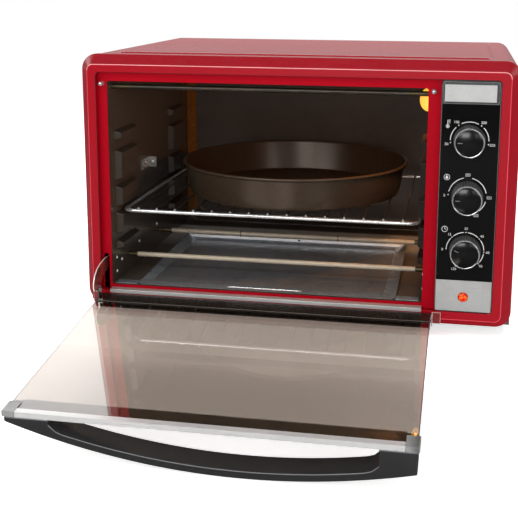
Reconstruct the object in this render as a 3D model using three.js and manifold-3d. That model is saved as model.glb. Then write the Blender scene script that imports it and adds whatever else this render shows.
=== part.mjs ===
// Mini oven with a drop-down glass door, three knobs, a wire rack, a round pan and a crumb tray.
// Millimetres, +Z up, front towards -Y. The origin is the centre of the base panel's underside.
import * as THREE from "three";
import * as BufferGeometryUtils from "three/addons/utils/BufferGeometryUtils.js";
import Module from "manifold-3d";

const wasm = await Module();
wasm.setup();

// General values. Depths are counted from the front face of the front frame, backwards.
const gap = 0.3;
const sheet = 1.2;
const overrun = 3;
const body = { width: 550, height: 330, depth: 410, corner: 20 };
const halfWidth = body.width / 2;
const middle = body.height / 2;

// Housing
const bevel = { side: 13, edge: 12, depth: 18, rim: 26, corner: 7 };
const windowEdge = { side: 24, edge: 22, lip: 8.7, corner: 5, soft: 1 };
const casing = { inset: 1, skin: 1 };
const emboss = { rise: 1.4, slope: 3, fromSide: 34, fromFront: 55, fromBack: 36 };
const sideVent = { count: 9, first: 90, pitch: 12, width: 4, low: 60, high: 100 };
const rear = { inset: 1.5, flange: 12, skin: 1 };
const rearVent = { rows: 4, columns: 5, width: 44, height: 4, pitchX: 62, pitchZ: 16, fromTop: 40 };
const base = { skin: 1.2, flange: 12, step: 1, fromSide: 90, fromFront: 50, fromBack: 30 };
const foot = { fromSide: 60, front: 80, fromBack: 50, radius: 15, sole: 13, height: 15, edge: 2 };
foot.x = halfWidth - foot.fromSide;
foot.back = body.depth - foot.fromBack;
const baseVent = { rows: 6, x: foot.x, width: 44, height: 4, pitch: 14, first: 150 };

// Control panel: it stands at the window's right edge, and its plates keep to its edges
const panelWidth = 69.4;
const panel = { front: 0.8, back: 8.7, low: windowEdge.edge + gap };
panel.right = halfWidth - windowEdge.side - gap;
panel.left = panel.right - panelWidth;
panel.high = body.height - windowEdge.edge - gap;
const panelEdge = { rim: 1, corner: 4.5, pocket: 1.6 };
const dial = { fromRight: 34.9, fromLow: 40.6, fromHigh: 28.5 };
dial.x = panel.right - dial.fromRight;
dial.low = panel.low + dial.fromLow;
dial.high = panel.high - dial.fromHigh;
const badge = { fromLeft: 3.7, fromRight: 5.3, fromHigh: 5.1, height: 20.2 };
badge.left = panel.left + badge.fromLeft;
badge.right = panel.right - badge.fromRight;
badge.high = panel.high - badge.fromHigh;
badge.low = badge.high - badge.height;
const lens = { fromLow: 19.2, radius: 6, front: -1.6, back: 6 };
lens.z = panel.low + lens.fromLow;
const knobShare = { low: 0.1761, high: 0.1997 };
const dialSpan = dial.high - dial.low;
const knobHeights = { thermostat: dial.high - knobShare.high * dialSpan };
knobHeights.timer = dial.low + knobShare.low * dialSpan;
knobHeights.selector = (knobHeights.thermostat + knobHeights.timer) / 2;
const knob = { back: -0.4, radius: 19.2, waist: 17.6, flute: 0.5, bore: 3.2 };
const knobFace = { ringWide: 2.4, ringSkin: 1.2, dome: 2.4, lip: 0.8 };
const pointer = { inner: 7, outer: 15, width: 1.6, rise: 0.5 };
const spindle = { radius: 2.9, hole: 4, back: 22, inKnob: 14 };
const turnedBy = { thermostat: 0, selector: 0, timer: 22 };
const knobLength = { thermostat: 20.5, selector: 29, timer: 21.5 };
const switchBody = {
  thermostat: { width: 38, height: 34, depth: 26 },
  selector: { width: 34, height: 34, depth: 34 },
  timer: { width: 48, height: 50, depth: 40 },
};
const switchFront = 9.4;

// Door, drawn closed about its pivot and then laid open
const pivot = { y: -7.3, z: 14.3, openAngle: 97.1 };
const door = { fromSide: 25.5, fromPanel: 3.8, fromTop: 2.1 };
door.left = door.fromSide - halfWidth;
door.right = panel.left - door.fromPanel;
door.high = body.height - windowEdge.edge - door.fromTop - pivot.z;
const glass = { front: 0.2, back: 4.2, low: 12, fromTop: 7.6 };
glass.high = door.high - glass.fromTop;
const lowRail = { front: -8.5, back: 5.5, low: -4, high: 20.2, corner: 3.5, seat: 11.7 };
const topRail = { front: -1, back: 5.4, web: 1.2, width: 30, lip: 8 };
topRail.high = door.high;
topRail.low = topRail.high - topRail.width;
const cap = { width: 12, tall: 20, beyond: 2 };
cap.low = door.high - cap.tall;
const handle = { back: -1.3, endLeft: 6.9, endRight: 26.6, bow: 32, band: 9, fillet: 6 };
handle.postLeft = 49;
handle.postRight = 37.5;
handle.high = topRail.high;
handle.low = topRail.low;
const pin = { radius: 2.5, reach: 12, hole: 2.8 };
const ear = { fromSide: 5, skin: 2, flange: 4.2, flangeSkin: 1, low: 8.7, high: 18.5 };
ear.inner = door.left + ear.fromSide;
const rivet = { y: 22, z: 13, radius: 2.5, boss: 4.3, head: 3.4, headSkin: 0.6 };
const bracket = { flange: 11, skin: 1.2, low: 6, high: 20.5, reach: 13.5, away: 1 };
const arm = { skin: 1.5, hole: 2.9 };
const armOutline = [
  [26, 63], [10, 64.6], [-1.2, 63.5], [-12.8, 61.2], [-24.2, 57.4], [-32.6, 51], [-37.4, 43],
  [-38.4, 36.1], [-36, 31.4], [-30, 29.9], [-17, 29.9], [-12, 33], [-9.2, 38.5], [-5.3, 43.9],
  [2.5, 46.9], [14.4, 47.8], [26, 50],
];

// Recessed plate round the opening
const surround = { front: 9, skin: 1.5, fromSide: 13, behindPanel: 4.7, fromEnd: 12 };
surround.left = surround.fromSide - halfWidth;
surround.right = panel.left + surround.behindPanel;
const opening = { fromSide: 36, fromPanel: 15.8, low: 28.5, fromTop: 33.5, corner: 3 };
opening.left = opening.fromSide - halfWidth;
opening.right = panel.left - opening.fromPanel;
opening.high = body.height - opening.fromTop;
const slot = { width: 7.1, left: door.left, low: 22.3, high: 70 };
slot.right = slot.left + slot.width;
const threshold = { high: 24.4, skin: 1.1, front: -0.3, hem: 2.6, hemDepth: 1.1 };
const buffer = { radius: 3, tip: -1.5, fromTop: 36.5, fromOpening: 5.6, beyond: 6.5 };
buffer.z = body.height - buffer.fromTop;
buffer.left = opening.left - buffer.fromOpening;
buffer.right = opening.right + buffer.beyond;

// Oven cavity
const cavity = { fromBack: 32, bulge: 12, bulgeSlope: 13, bulgeCorner: 20 };
cavity.rearFace = body.depth - cavity.fromBack;
cavity.back = cavity.rearFace - gap;
const land = { proud: 8, slope: 2.5, frontStart: 33, frontEnd: 104, rearStart: 106, rearEnd: 38 };
const landColumns = [
  [land.frontStart, land.frontEnd],
  [cavity.rearFace - land.rearStart, cavity.rearFace - land.rearEnd],
];
const tall = opening.high - opening.low;
const landRows = [
  [0.1586, 0.1922], [0.2369, 0.3358], [0.375, 0.4683], [0.5093, 0.6474], [0.7071, 0.7444],
].map((pair) => pair.map((share) => opening.low + share * tall));

// Heating rods: place, and the dark cold end of each
const rod = { radius: 3.25, hole: 3.8, insulator: 5, insulatorLong: 9, pin: 2, pinLong: 6 };
const rodPlace = { lowFront: 80, highFront: 27, fromBack: 160, fromFloor: 22.5, fromTop: 8.5 };
const rearRod = cavity.rearFace - rodPlace.fromBack;
const lowRod = { front: rodPlace.lowFront, back: rearRod, z: opening.low + rodPlace.fromFloor };
const highRod = { front: rodPlace.highFront, back: rearRod, z: opening.high - rodPlace.fromTop };

// Lamp in the right wall
const lamp = { y: 72, fromTop: 20.5, hole: 13, flange: 18, flangeSkin: 1.2 };
lamp.z = opening.high - lamp.fromTop;
const dome = { reach: 12.5, radius: 15 };
const lampCup = { radius: 15, bore: 11, depth: 34, floor: 2 };
const bulb = { cap: 6, capLong: 16, globe: 8.5 };

// Bracket on the left wall
const sensor = { front: 139, back: 171, low: 157, high: 172, skin: 1.2, reach: 12 };

// Rack, pan and tray
const rack = { front: 43, fromBack: 20, fromLeft: 5.4, fromRight: 6.5, radius: 2.5, corner: 14 };
rack.left = opening.left + rack.fromLeft;
rack.right = opening.right - rack.fromRight;
rack.back = cavity.rearFace - rack.fromBack;
rack.z = landRows[1][1] + rack.radius;
const rackWire = { radius: 1.5, pitch: 25, fromEnd: 14, rise: 3.4, past: 0.5 };
const rackHalf = (rack.right - rack.left) / 2;
const wiresEachSide = Math.floor((rackHalf - rackWire.fromEnd) / rackWire.pitch);
const pan = { aside: 9.3, toBack: 12.5, height: 46, foot: 11, wall: 1.6, bead: 3, onRack: 5.2 };
const panClear = { side: 35.3, end: 28 };
pan.radius = Math.min(rackHalf - panClear.side, cavity.rearFace / 2 - panClear.end);
pan.x = (rack.left + rack.right) / 2 + pan.aside;
pan.y = cavity.rearFace / 2 + pan.toBack;
pan.low = rack.z + pan.onRack;
const tray = { front: 11.2, fromBack: 114, fromSide: 33, low: 28.9, high: 30.3, skin: 1 };
tray.left = opening.left + tray.fromSide;
tray.right = opening.right - tray.fromSide;
tray.back = cavity.rearFace - tray.fromBack;
const trayForm = { rim: 3, slope: 13, corner: 8, rearHigh: 38, wing: 29, wingDeep: 15 };
const bail = { toLeft: 48.8, toRight: 50.5, inset: 1.4, reach: 3, rise: 2, radius: 1.1, bend: 4 };

// Fineness of round forms
const fine = { corner: 6, wire: 8, pan: 48, knob: 48, round: 24, small: 12 };

// Geometry helpers

function closed(geometry) {
  const bare = new THREE.BufferGeometry();
  bare.setAttribute("position", geometry.getAttribute("position"));
  if (geometry.index) bare.setIndex(geometry.index);
  const merged = BufferGeometryUtils.mergeVertices(bare, 1e-4);
  const p = merged.getAttribute("position");
  const index = Array.from(merged.index.array);
  const kept = [];
  let volume = 0;
  for (let i = 0; i < index.length; i += 3) {
    const [a, b, c] = index.slice(i, i + 3);
    if (a === b || b === c || c === a) continue;
    kept.push(a, b, c);
    const va = new THREE.Vector3().fromBufferAttribute(p, a);
    const vb = new THREE.Vector3().fromBufferAttribute(p, b);
    const vc = new THREE.Vector3().fromBufferAttribute(p, c);
    volume += va.dot(vb.cross(vc));
  }
  if (volume < 0) kept.reverse();
  merged.setIndex(kept);
  return merged;
}

function solid(geometry) {
  const g = closed(geometry);
  return new wasm.Manifold(new wasm.Mesh({
    numProp: 3,
    vertProperties: new Float32Array(g.getAttribute("position").array),
    triVerts: new Uint32Array(g.index.array),
  }));
}

function surface(manifold) {
  const mesh = manifold.getMesh();
  const g = new THREE.BufferGeometry();
  g.setAttribute("position", new THREE.BufferAttribute(new Float32Array(mesh.vertProperties), 3));
  g.setIndex(Array.from(mesh.triVerts));
  return g;
}

const cut = (from, tools) => surface(tools.reduce((s, t) => s.subtract(solid(t)), solid(from)));
const join = (pieces) => surface(pieces.slice(1).reduce((s, t) => s.add(solid(t)), solid(pieces[0])));

function mesh3(points, triangles) {
  const g = new THREE.BufferGeometry();
  g.setAttribute("position", new THREE.Float32BufferAttribute(points.flat(), 3));
  g.setIndex(triangles.flat());
  return g;
}

// Skin through loops with equal numbers of points; the ends are capped, or joined into a ring.
function loft(loops, ring = false) {
  const n = loops[0].length;
  const points = loops.flat();
  const triangles = [];
  const spans = ring ? loops.length : loops.length - 1;
  for (let k = 0; k < spans; k += 1) {
    const a = k * n;
    const b = ((k + 1) % loops.length) * n;
    for (let i = 0; i < n; i += 1) {
      const j = (i + 1) % n;
      triangles.push([a + i, a + j, b + j], [a + i, b + j, b + i]);
    }
  }
  if (!ring) {
    for (const [first, flip] of [[0, true], [(loops.length - 1) * n, false]]) {
      const centre = points.slice(first, first + n).reduce(
        (s, p) => s.map((v, i) => v + p[i] / n), [0, 0, 0]);
      points.push(centre);
      for (let i = 0; i < n; i += 1) {
        const pair = [first + i, first + ((i + 1) % n)];
        triangles.push(flip ? [points.length - 1, pair[1], pair[0]] : [points.length - 1, ...pair]);
      }
    }
  }
  return closed(mesh3(points, triangles));
}

function roundRect(halfW, halfH, radius) {
  const points = [];
  const r = Math.max(radius, 0.05);
  const centres = [[1, 1], [-1, 1], [-1, -1], [1, -1]];
  centres.forEach(([sx, sy], k) => {
    for (let i = 0; i <= fine.corner; i += 1) {
      const a = (k + i / fine.corner) * Math.PI / 2;
      points.push([sx * (halfW - r) + r * Math.cos(a), sy * (halfH - r) + r * Math.sin(a)]);
    }
  });
  return points;
}

function rectShape(x0, x1, y0, y1, radius = 0) {
  const points = roundRect((x1 - x0) / 2, (y1 - y0) / 2, radius).map(
    ([x, y]) => new THREE.Vector2(x + (x0 + x1) / 2, y + (y0 + y1) / 2));
  if (radius > 0) return new THREE.Shape(points);
  return new THREE.Shape([[x0, y0], [x1, y0], [x1, y1], [x0, y1]].map(
    ([x, y]) => new THREE.Vector2(x, y)));
}

function discShape(x, y, radius, n = fine.round) {
  const points = [];
  for (let i = 0; i < n; i += 1) {
    const a = i / n * 2 * Math.PI;
    points.push(new THREE.Vector2(x + radius * Math.cos(a), y + radius * Math.sin(a)));
  }
  return new THREE.Shape(points);
}

const outline = (points) => new THREE.Shape(points.map(([a, b]) => new THREE.Vector2(a, b)));

function holed(shape, holes) {
  holes.forEach((h) => shape.holes.push(new THREE.Path(h.getPoints())));
  return shape;
}

const extrude = (shape, depth) =>
  new THREE.ExtrudeGeometry(shape, { depth, bevelEnabled: false, steps: 1, curveSegments: 1 });

// Plates: the shape is drawn in the plane named, and the thickness runs between the two values.
const plateXY = (shape, z0, z1) => closed(extrude(shape, z1 - z0).translate(0, 0, z0));
const plateXZ = (shape, y0, y1) =>
  closed(extrude(shape, y1 - y0).rotateX(Math.PI / 2).translate(0, y1, 0));
const plateYZ = (shape, x0, x1) => closed(extrude(shape, x1 - x0).applyMatrix4(
  new THREE.Matrix4().set(0, 0, 1, x0, 1, 0, 0, 0, 0, 1, 0, 0, 0, 0, 0, 1)));

const box = (x0, x1, y0, y1, z0, z1) => plateXY(rectShape(x0, x1, y0, y1), z0, z1);

// Turned piece: profile of [radius, distance along the axis].
function turned(profile, axis, at, n = fine.round) {
  const g = new THREE.LatheGeometry(profile.map(([r, h]) => new THREE.Vector2(r, h)), n);
  if (axis === "x") g.rotateZ(-Math.PI / 2);
  if (axis === "z") g.rotateX(Math.PI / 2);
  return closed(g.translate(...at));
}

const rodX = (x0, x1, y, z, r, n = fine.round) =>
  turned([[0, x0], [r, x0], [r, x1], [0, x1]], "x", [0, y, z], n);
const rodY = (y0, y1, x, z, r, n = fine.round) =>
  turned([[0, y0], [r, y0], [r, y1], [0, y1]], "y", [x, 0, z], n);

// Round wire along points, with capped ends or closed into a loop.
function wire(path, radius, looped = false, n = fine.wire) {
  const v = path.map((p) => new THREE.Vector3(...p));
  const count = v.length;
  const loops = v.map((p, k) => {
    const before = v[looped ? (k + count - 1) % count : Math.max(k - 1, 0)];
    const after = v[looped ? (k + 1) % count : Math.min(k + 1, count - 1)];
    const along = after.clone().sub(before).normalize();
    const inward = p.clone().sub(before).normalize();
    const stretch = before === p ? 1 : Math.max(inward.dot(along), 0.5);
    const up = Math.abs(along.z) > 0.99 ? new THREE.Vector3(0, 1, 0) : new THREE.Vector3(0, 0, 1);
    const side = along.clone().cross(up).normalize();
    const top = side.clone().cross(along).normalize();
    const ring = [];
    for (let i = 0; i < n; i += 1) {
      const a = (i + 0.5) / n * 2 * Math.PI;
      const q = p.clone().addScaledVector(side, radius / stretch * Math.cos(a));
      ring.push(q.addScaledVector(top, radius * Math.sin(a)).toArray());
    }
    return ring;
  });
  return loft(loops, looped);
}

// Sheet with a shaped face: x of the face over a grid of y and z, and a second face behind it.
function formedWall(ys, zs, faceAt, thickness) {
  const points = [];
  const triangles = [];
  const n = zs.length;
  const m = ys.length;
  for (const shift of [0, thickness]) {
    for (const y of ys) for (const z of zs) points.push([faceAt(y, z) + shift, y, z]);
  }
  const at = (layer, i, j) => layer * n * m + i * n + j;
  const quad = (a, b, c, d) => triangles.push([a, b, c], [a, c, d]);
  for (let i = 0; i < m - 1; i += 1) {
    for (let j = 0; j < n - 1; j += 1) {
      quad(at(0, i, j), at(0, i, j + 1), at(0, i + 1, j + 1), at(0, i + 1, j));
      quad(at(1, i, j), at(1, i + 1, j), at(1, i + 1, j + 1), at(1, i, j + 1));
    }
  }
  for (let i = 0; i < m - 1; i += 1) {
    quad(at(0, i, 0), at(0, i + 1, 0), at(1, i + 1, 0), at(1, i, 0));
    quad(at(0, i, n - 1), at(1, i, n - 1), at(1, i + 1, n - 1), at(0, i + 1, n - 1));
  }
  for (let j = 0; j < n - 1; j += 1) {
    quad(at(0, 0, j), at(1, 0, j), at(1, 0, j + 1), at(0, 0, j + 1));
    quad(at(0, m - 1, j), at(0, m - 1, j + 1), at(1, m - 1, j + 1), at(1, m - 1, j));
  }
  return closed(mesh3(points, triangles));
}

// Colours and the list of finished pieces
const colour = {
  red: { color: 0xb3121f, roughness: 0.32, metalness: 0 },
  inner: { color: 0x6f6963, roughness: 0.35, metalness: 0.9 },
  steel: { color: 0xc9c8c6, roughness: 0.3, metalness: 1 },
  chrome: { color: 0xe2e2e2, roughness: 0.12, metalness: 1 },
  aluminium: { color: 0xd6d7d8, roughness: 0.28, metalness: 1 },
  rodMetal: { color: 0xb9ab96, roughness: 0.4, metalness: 0.8 },
  black: { color: 0x17181a, roughness: 0.35, metalness: 0 },
  gloss: { color: 0x0b0c0d, roughness: 0.08, metalness: 0 },
  moulding: { color: 0x4a4f50, roughness: 0.3, metalness: 0.4 },
  glass: { color: 0x6d5f52, roughness: 0.03, metalness: 0 },
  clear: { color: 0xf3ead6, roughness: 0.05, metalness: 0 },
  lens: { color: 0xd81e12, roughness: 0.1, metalness: 0 },
  rubber: { color: 0x1c1c1c, roughness: 0.8, metalness: 0 },
  ceramic: { color: 0xe9e4d8, roughness: 0.6, metalness: 0 },
  pan: { color: 0x3a332d, roughness: 0.4, metalness: 0.3 },
  zinc: { color: 0x9aa0a4, roughness: 0.4, metalness: 0.9 },
};
const group = new THREE.Group();
const openTurn = THREE.MathUtils.degToRad(pivot.openAngle);

function add(name, geometry, look) {
  const g = closed(geometry).translate(0, -body.depth / 2, 0);
  g.computeVertexNormals();
  const piece = new THREE.Mesh(g, new THREE.MeshStandardMaterial(colour[look]));
  piece.name = name;
  group.add(piece);
}

// Door pieces are drawn closed with the pivot as origin, then laid open.
const laidOpen = (geometry) => geometry.rotateX(openTurn).translate(0, pivot.y, pivot.z);

// Front frame: bevelled ring with a lip turned back round the window
function frontFrame() {
  const w = windowEdge;
  const at = (inX, inZ, radius, y) => roundRect(halfWidth - inX, middle - inZ, radius).map(
    ([x, z]) => [x, y, z + middle]);
  const t = sheet;
  const soft = w.soft;
  return loft([
    at(w.side, w.edge, w.corner, w.lip),
    at(w.side, w.edge, w.corner, soft),
    at(w.side - soft * 0.3, w.edge - soft * 0.3, w.corner, soft * 0.3),
    at(w.side - soft, w.edge - soft, w.corner, 0),
    at(bevel.side + soft, bevel.edge + soft, bevel.corner, 0),
    at(bevel.side - soft * 0.6, bevel.edge - soft * 0.6, bevel.corner, soft * 0.5),
    at(soft * 0.3, soft * 0.3, body.corner, bevel.depth - soft),
    at(0, 0, body.corner, bevel.depth + soft),
    at(0, 0, body.corner, bevel.rim),
    at(t, t, body.corner - t, bevel.rim),
    at(t, t, body.corner - t, bevel.depth + soft),
    at(bevel.side + soft * 0.6, bevel.edge + soft * 0.6, bevel.corner, t + soft * 0.5),
    at(bevel.side + t, bevel.edge + t, bevel.corner, t),
    at(w.side - t, w.edge - t, w.corner, t),
    at(w.side - t, w.edge - t, w.corner, w.lip),
  ], true);
}
add("front_frame", frontFrame(), "red");

// Casing: roof and two sides in one sheet, with the raised roof panel and side vents
function outerCasing() {
  const half = halfWidth - casing.inset;
  const top = body.height - casing.inset;
  const arc = (inset) => {
    const r = body.corner - casing.inset - inset;
    const cx = halfWidth - body.corner;
    const cz = body.height - body.corner;
    const side = [];
    for (let i = 0; i <= fine.corner; i += 1) {
      const a = i / fine.corner * Math.PI / 2;
      side.push([cx + r * Math.cos(a), cz + r * Math.sin(a)]);
    }
    return [[half - inset, gap], ...side, ...side.map(([x, z]) => [-x, z]).reverse(),
      [inset - half, gap]];
  };
  const profile = outline([...arc(0), ...arc(casing.skin).reverse()]);
  const shell = plateXZ(profile, bevel.rim + gap, body.depth);
  const panelBlock = (low, high, inset) => {
    const halfLength = (body.depth - emboss.fromBack - emboss.fromFront) / 2;
    const centre = (body.depth - emboss.fromBack + emboss.fromFront) / 2;
    const loop = (z, more) => roundRect(
      halfWidth - emboss.fromSide - more, halfLength - more, emboss.slope * 2,
    ).map(([x, y]) => [x, y + centre, z]);
    return loft([loop(low, inset), loop(high, inset + emboss.slope)]);
  };
  const skinLow = top - casing.skin;
  const raised = panelBlock(skinLow, top + emboss.rise, 0);
  const hollow = panelBlock(skinLow - overrun, skinLow + emboss.rise, casing.skin);
  const vents = [];
  for (let i = 0; i < sideVent.count; i += 1) {
    const y = sideVent.first + i * sideVent.pitch;
    vents.push(box(half - overrun, half + overrun, y, y + sideVent.width, sideVent.low, sideVent.high));
  }
  return cut(join([shell, raised]), [hollow, ...vents]);
}
add("outer_casing", outerCasing(), "red");

// Rear panel with rows of slots, inside the casing's back edge
function rearPanel() {
  const half = halfWidth - casing.inset - casing.skin - gap;
  const high = body.height - casing.inset - casing.skin - gap;
  const low = base.step + base.skin + gap;
  const corner = body.corner - casing.inset - casing.skin - gap;
  const back = body.depth - rear.inset;
  const blank = plateXZ(rectShape(-half, half, low, high, corner), back - rear.flange, back);
  const t = rear.skin;
  const hollow = plateXZ(
    rectShape(t - half, half - t, low + t, high - t, corner - t),
    back - rear.flange - overrun, back - t);
  const slots = [];
  for (let i = 0; i < rearVent.columns; i += 1) {
    for (let k = 0; k < rearVent.rows; k += 1) {
      const x = (i - (rearVent.columns - 1) / 2) * rearVent.pitchX - rearVent.width / 2;
      const z = body.height - rearVent.fromTop - k * rearVent.pitchZ;
      slots.push(box(x, x + rearVent.width, back - rear.flange, back + overrun, z, z + rearVent.height));
    }
  }
  return cut(blank, [hollow, ...slots]);
}
add("rear_panel", rearPanel(), "zinc");

// Base panel: tray with turned-up edges, and a shallow plateau pressed down between the feet
function basePanel() {
  const half = halfWidth - casing.inset - casing.skin - gap;
  const t = base.skin;
  const front = bevel.rim + gap;
  const back = body.depth;
  const blank = box(-half, half, front, back, base.step, base.step + base.flange);
  const plateauHalf = halfWidth - base.fromSide;
  const plateau = (inset, low, high) => box(
    inset - plateauHalf, plateauHalf - inset, base.fromFront + inset,
    body.depth - base.fromBack - inset, low, high);
  const floor = base.step + t;
  const hollow = box(t - half, half - t, front + t, back + overrun, floor, floor + base.flange);
  const slots = [];
  for (let i = 0; i < baseVent.rows; i += 1) {
    const y = baseVent.first + i * baseVent.pitch;
    for (const x of [-baseVent.x, baseVent.x]) {
      slots.push(box(x - baseVent.width / 2, x + baseVent.width / 2,
        y, y + baseVent.height, -overrun, floor + overrun));
    }
  }
  return cut(join([blank, plateau(0, 0, floor)]), [hollow, plateau(t, t, floor + overrun), ...slots]);
}
add("base_panel", basePanel(), "zinc");

// Feet
for (const [name, x, y] of [
  ["foot_front_left", -foot.x, foot.front], ["foot_front_right", foot.x, foot.front],
  ["foot_back_left", -foot.x, foot.back], ["foot_back_right", foot.x, foot.back],
]) {
  add(name, turned([
    [0, -foot.height], [foot.sole, -foot.height], [foot.radius, -foot.height + foot.edge],
    [foot.radius, base.step - gap], [0, base.step - gap],
  ], "z", [x, y, 0]), "rubber");
}

// Recessed plate with the oven opening and the slot of the hinge arm
const surroundBack = surround.front + surround.skin;
const slotRound = (slot.right - slot.left) / 2;
function slotShape() {
  const points = [[slot.left, slot.low], [slot.right, slot.low]];
  for (let i = 0; i <= fine.corner; i += 1) {
    const a = i / fine.corner * Math.PI;
    points.push([slot.left + slotRound + slotRound * Math.cos(a),
      slot.high - slotRound + slotRound * Math.sin(a)]);
  }
  return outline(points);
}
add("door_surround", plateXZ(holed(
  rectShape(surround.left, surround.right, surround.fromEnd, body.height - surround.fromEnd),
  [rectShape(opening.left, opening.right, opening.low, opening.high, opening.corner), slotShape()],
), surround.front, surroundBack), "red");

// Bright shelf under the opening, with a thicker front hem
add("threshold_strip", plateYZ(outline([
  [threshold.front, threshold.high - threshold.hem],
  [threshold.front + threshold.hemDepth, threshold.high - threshold.hem + gap],
  [threshold.front + threshold.hemDepth, threshold.high - threshold.skin],
  [surround.front - gap, threshold.high - threshold.skin],
  [surround.front - gap, threshold.high],
  [threshold.front, threshold.high],
]), opening.left, opening.right), "steel");

// Domed door buffers
for (const [name, x] of [["door_buffer_left", buffer.left], ["door_buffer_right", buffer.right]]) {
  const r = buffer.radius;
  add(name, turned([
    [0, buffer.tip], [r * 0.5, buffer.tip + r * 0.13], [r * 0.87, buffer.tip + r * 0.5],
    [r, buffer.tip + r], [r, surround.front - gap], [0, surround.front - gap],
  ], "y", [x, 0, buffer.z], fine.small), "chrome");
}

// Cavity side walls with pressed shelf lands
const cavityFront = surroundBack + gap;
const wallLow = opening.low + gap;
const wallHigh = opening.high;
function sideWall(face, inward) {
  const half = land.slope / 2;
  const spread = (pairs, first, last) => [
    first, ...pairs.flatMap(([a, b]) => [a - half, a + half, b - half, b + half]), last];
  const ys = spread(landColumns, cavityFront, cavity.back);
  const zs = spread(landRows, wallLow, wallHigh);
  const inside = (pairs, v) => pairs.some(([a, b]) => v > a && v < b);
  const faceAt = (y, z) =>
    face + (inside(landColumns, y) && inside(landRows, z) ? inward * land.proud : 0);
  return formedWall(ys, zs, faceAt, -inward * sheet);
}
const rodPlaces = [
  ["heater_lower_front", lowRod.front, lowRod.z], ["heater_lower_rear", lowRod.back, lowRod.z],
  ["heater_upper_front", highRod.front, highRod.z], ["heater_upper_rear", highRod.back, highRod.z],
];
const rodHoles = (face) => rodPlaces.map(
  ([, y, z]) => rodX(face - overrun, face + overrun, y, z, rod.hole, fine.small));
add("cavity_left_wall", cut(sideWall(opening.left, 1), rodHoles(opening.left)), "inner");
add("cavity_right_wall", cut(sideWall(opening.right, -1), [
  ...rodHoles(opening.right),
  rodX(opening.right - overrun, opening.right + overrun, lamp.y, lamp.z, lamp.hole),
]), "inner");

// Cavity roof, floor and bulged back
const shellLeft = opening.left - sheet;
const shellRight = opening.right + sheet;
const shellHigh = opening.high + gap;
add("cavity_top", box(
  shellLeft, shellRight, cavityFront, cavity.back, shellHigh, shellHigh + sheet), "inner");
add("cavity_bottom", box(
  shellLeft, shellRight, cavityFront, cavity.back, opening.low - sheet, opening.low), "inner");
function cavityRear() {
  const cx = (shellLeft + shellRight) / 2;
  const low = opening.low - sheet;
  const high = shellHigh + sheet;
  const cz = (low + high) / 2;
  const halfW = (shellRight - shellLeft) / 2;
  const halfH = (high - low) / 2;
  const loop = (inset, radius, y) => roundRect(halfW - inset, halfH - inset, radius).map(
    ([x, z]) => [x + cx, y, z + cz]);
  const start = sheet + gap * 2;
  const deep = start + cavity.bulgeSlope;
  const r = cavity.bulgeCorner;
  const face = cavity.rearFace;
  return loft([
    loop(deep, r, face + cavity.bulge), loop(start, r, face), loop(0, 0, face),
    loop(0, 0, face + sheet), loop(start - sheet / 2, r, face + sheet),
    loop(deep, r, face + cavity.bulge + sheet),
  ]);
}
add("cavity_rear", cavityRear(), "inner");

// Heating rods through both walls, with insulators and terminals outside the cavity
for (const [name, y, z] of rodPlaces) {
  const left = shellLeft - gap;
  const right = shellRight + gap;
  add(name, turned([
    [0, left - rod.insulatorLong - rod.pinLong], [rod.pin, left - rod.insulatorLong - rod.pinLong],
    [rod.pin, left - rod.insulatorLong], [rod.insulator, left - rod.insulatorLong],
    [rod.insulator, left], [rod.radius, left], [rod.radius, right], [rod.insulator, right],
    [rod.insulator, right + rod.insulatorLong], [rod.pin, right + rod.insulatorLong],
    [rod.pin, right + rod.insulatorLong + rod.pinLong],
    [0, right + rod.insulatorLong + rod.pinLong],
  ], "x", [0, y, z], fine.small), "rodMetal");
}

// Lamp: glass cover inside the cavity, bulb, and socket cup outside the wall
const lampAt = [0, lamp.y, lamp.z];
const coverFace = opening.right - gap;
function lampCover() {
  const curve = (r, reach) => {
    const points = [];
    for (let i = 0; i <= fine.corner; i += 1) {
      const a = i / fine.corner * Math.PI / 2;
      points.push([r * Math.sin(a), coverFace - lamp.flangeSkin - reach * Math.cos(a)]);
    }
    return points;
  };
  const t = lamp.flangeSkin;
  return turned([
    ...curve(dome.radius, dome.reach - t), [lamp.flange, coverFace - t],
    [lamp.flange, coverFace], [dome.radius - t, coverFace],
    ...curve(dome.radius - t, dome.reach - t * 2).reverse(),
  ], "x", lampAt);
}
add("lamp_cover", lampCover(), "clear");
const cupFace = shellRight + gap;
add("lamp_socket", turned([
  [lampCup.bore, cupFace], [lamp.flange, cupFace], [lamp.flange, cupFace + sheet],
  [lampCup.radius, cupFace + sheet], [lampCup.radius, cupFace + lampCup.depth],
  [0, cupFace + lampCup.depth], [0, cupFace + lampCup.depth - lampCup.floor],
  [lampCup.bore, cupFace + lampCup.depth - lampCup.floor], [lampCup.bore, cupFace],
], "x", lampAt), "ceramic");
const bulbEnd = cupFace + lampCup.depth - lampCup.floor - gap;
const globeAt = coverFace + bulb.globe / 2;
function lampBulb() {
  const points = [];
  for (let i = 0; i <= fine.corner; i += 1) {
    const a = i / fine.corner * Math.PI * 0.75;
    points.push([bulb.globe * Math.sin(a), globeAt - bulb.globe * Math.cos(a)]);
  }
  return turned([...points, [bulb.cap, bulbEnd - bulb.capLong], [bulb.cap, bulbEnd], [0, bulbEnd]],
    "x", lampAt, fine.small);
}
add("lamp_bulb", lampBulb(), "clear");

// Bracket on the left wall
const sensorFace = opening.left + gap;
add("sensor_bracket", plateXY(outline([
  [sensorFace, sensor.front], [sensorFace + sensor.skin, sensor.front],
  [sensorFace + sensor.skin, sensor.back - sensor.skin],
  [sensorFace + sensor.reach, sensor.back - sensor.skin],
  [sensorFace + sensor.reach, sensor.back], [sensorFace, sensor.back],
]), sensor.low, sensor.high), "chrome");

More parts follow.
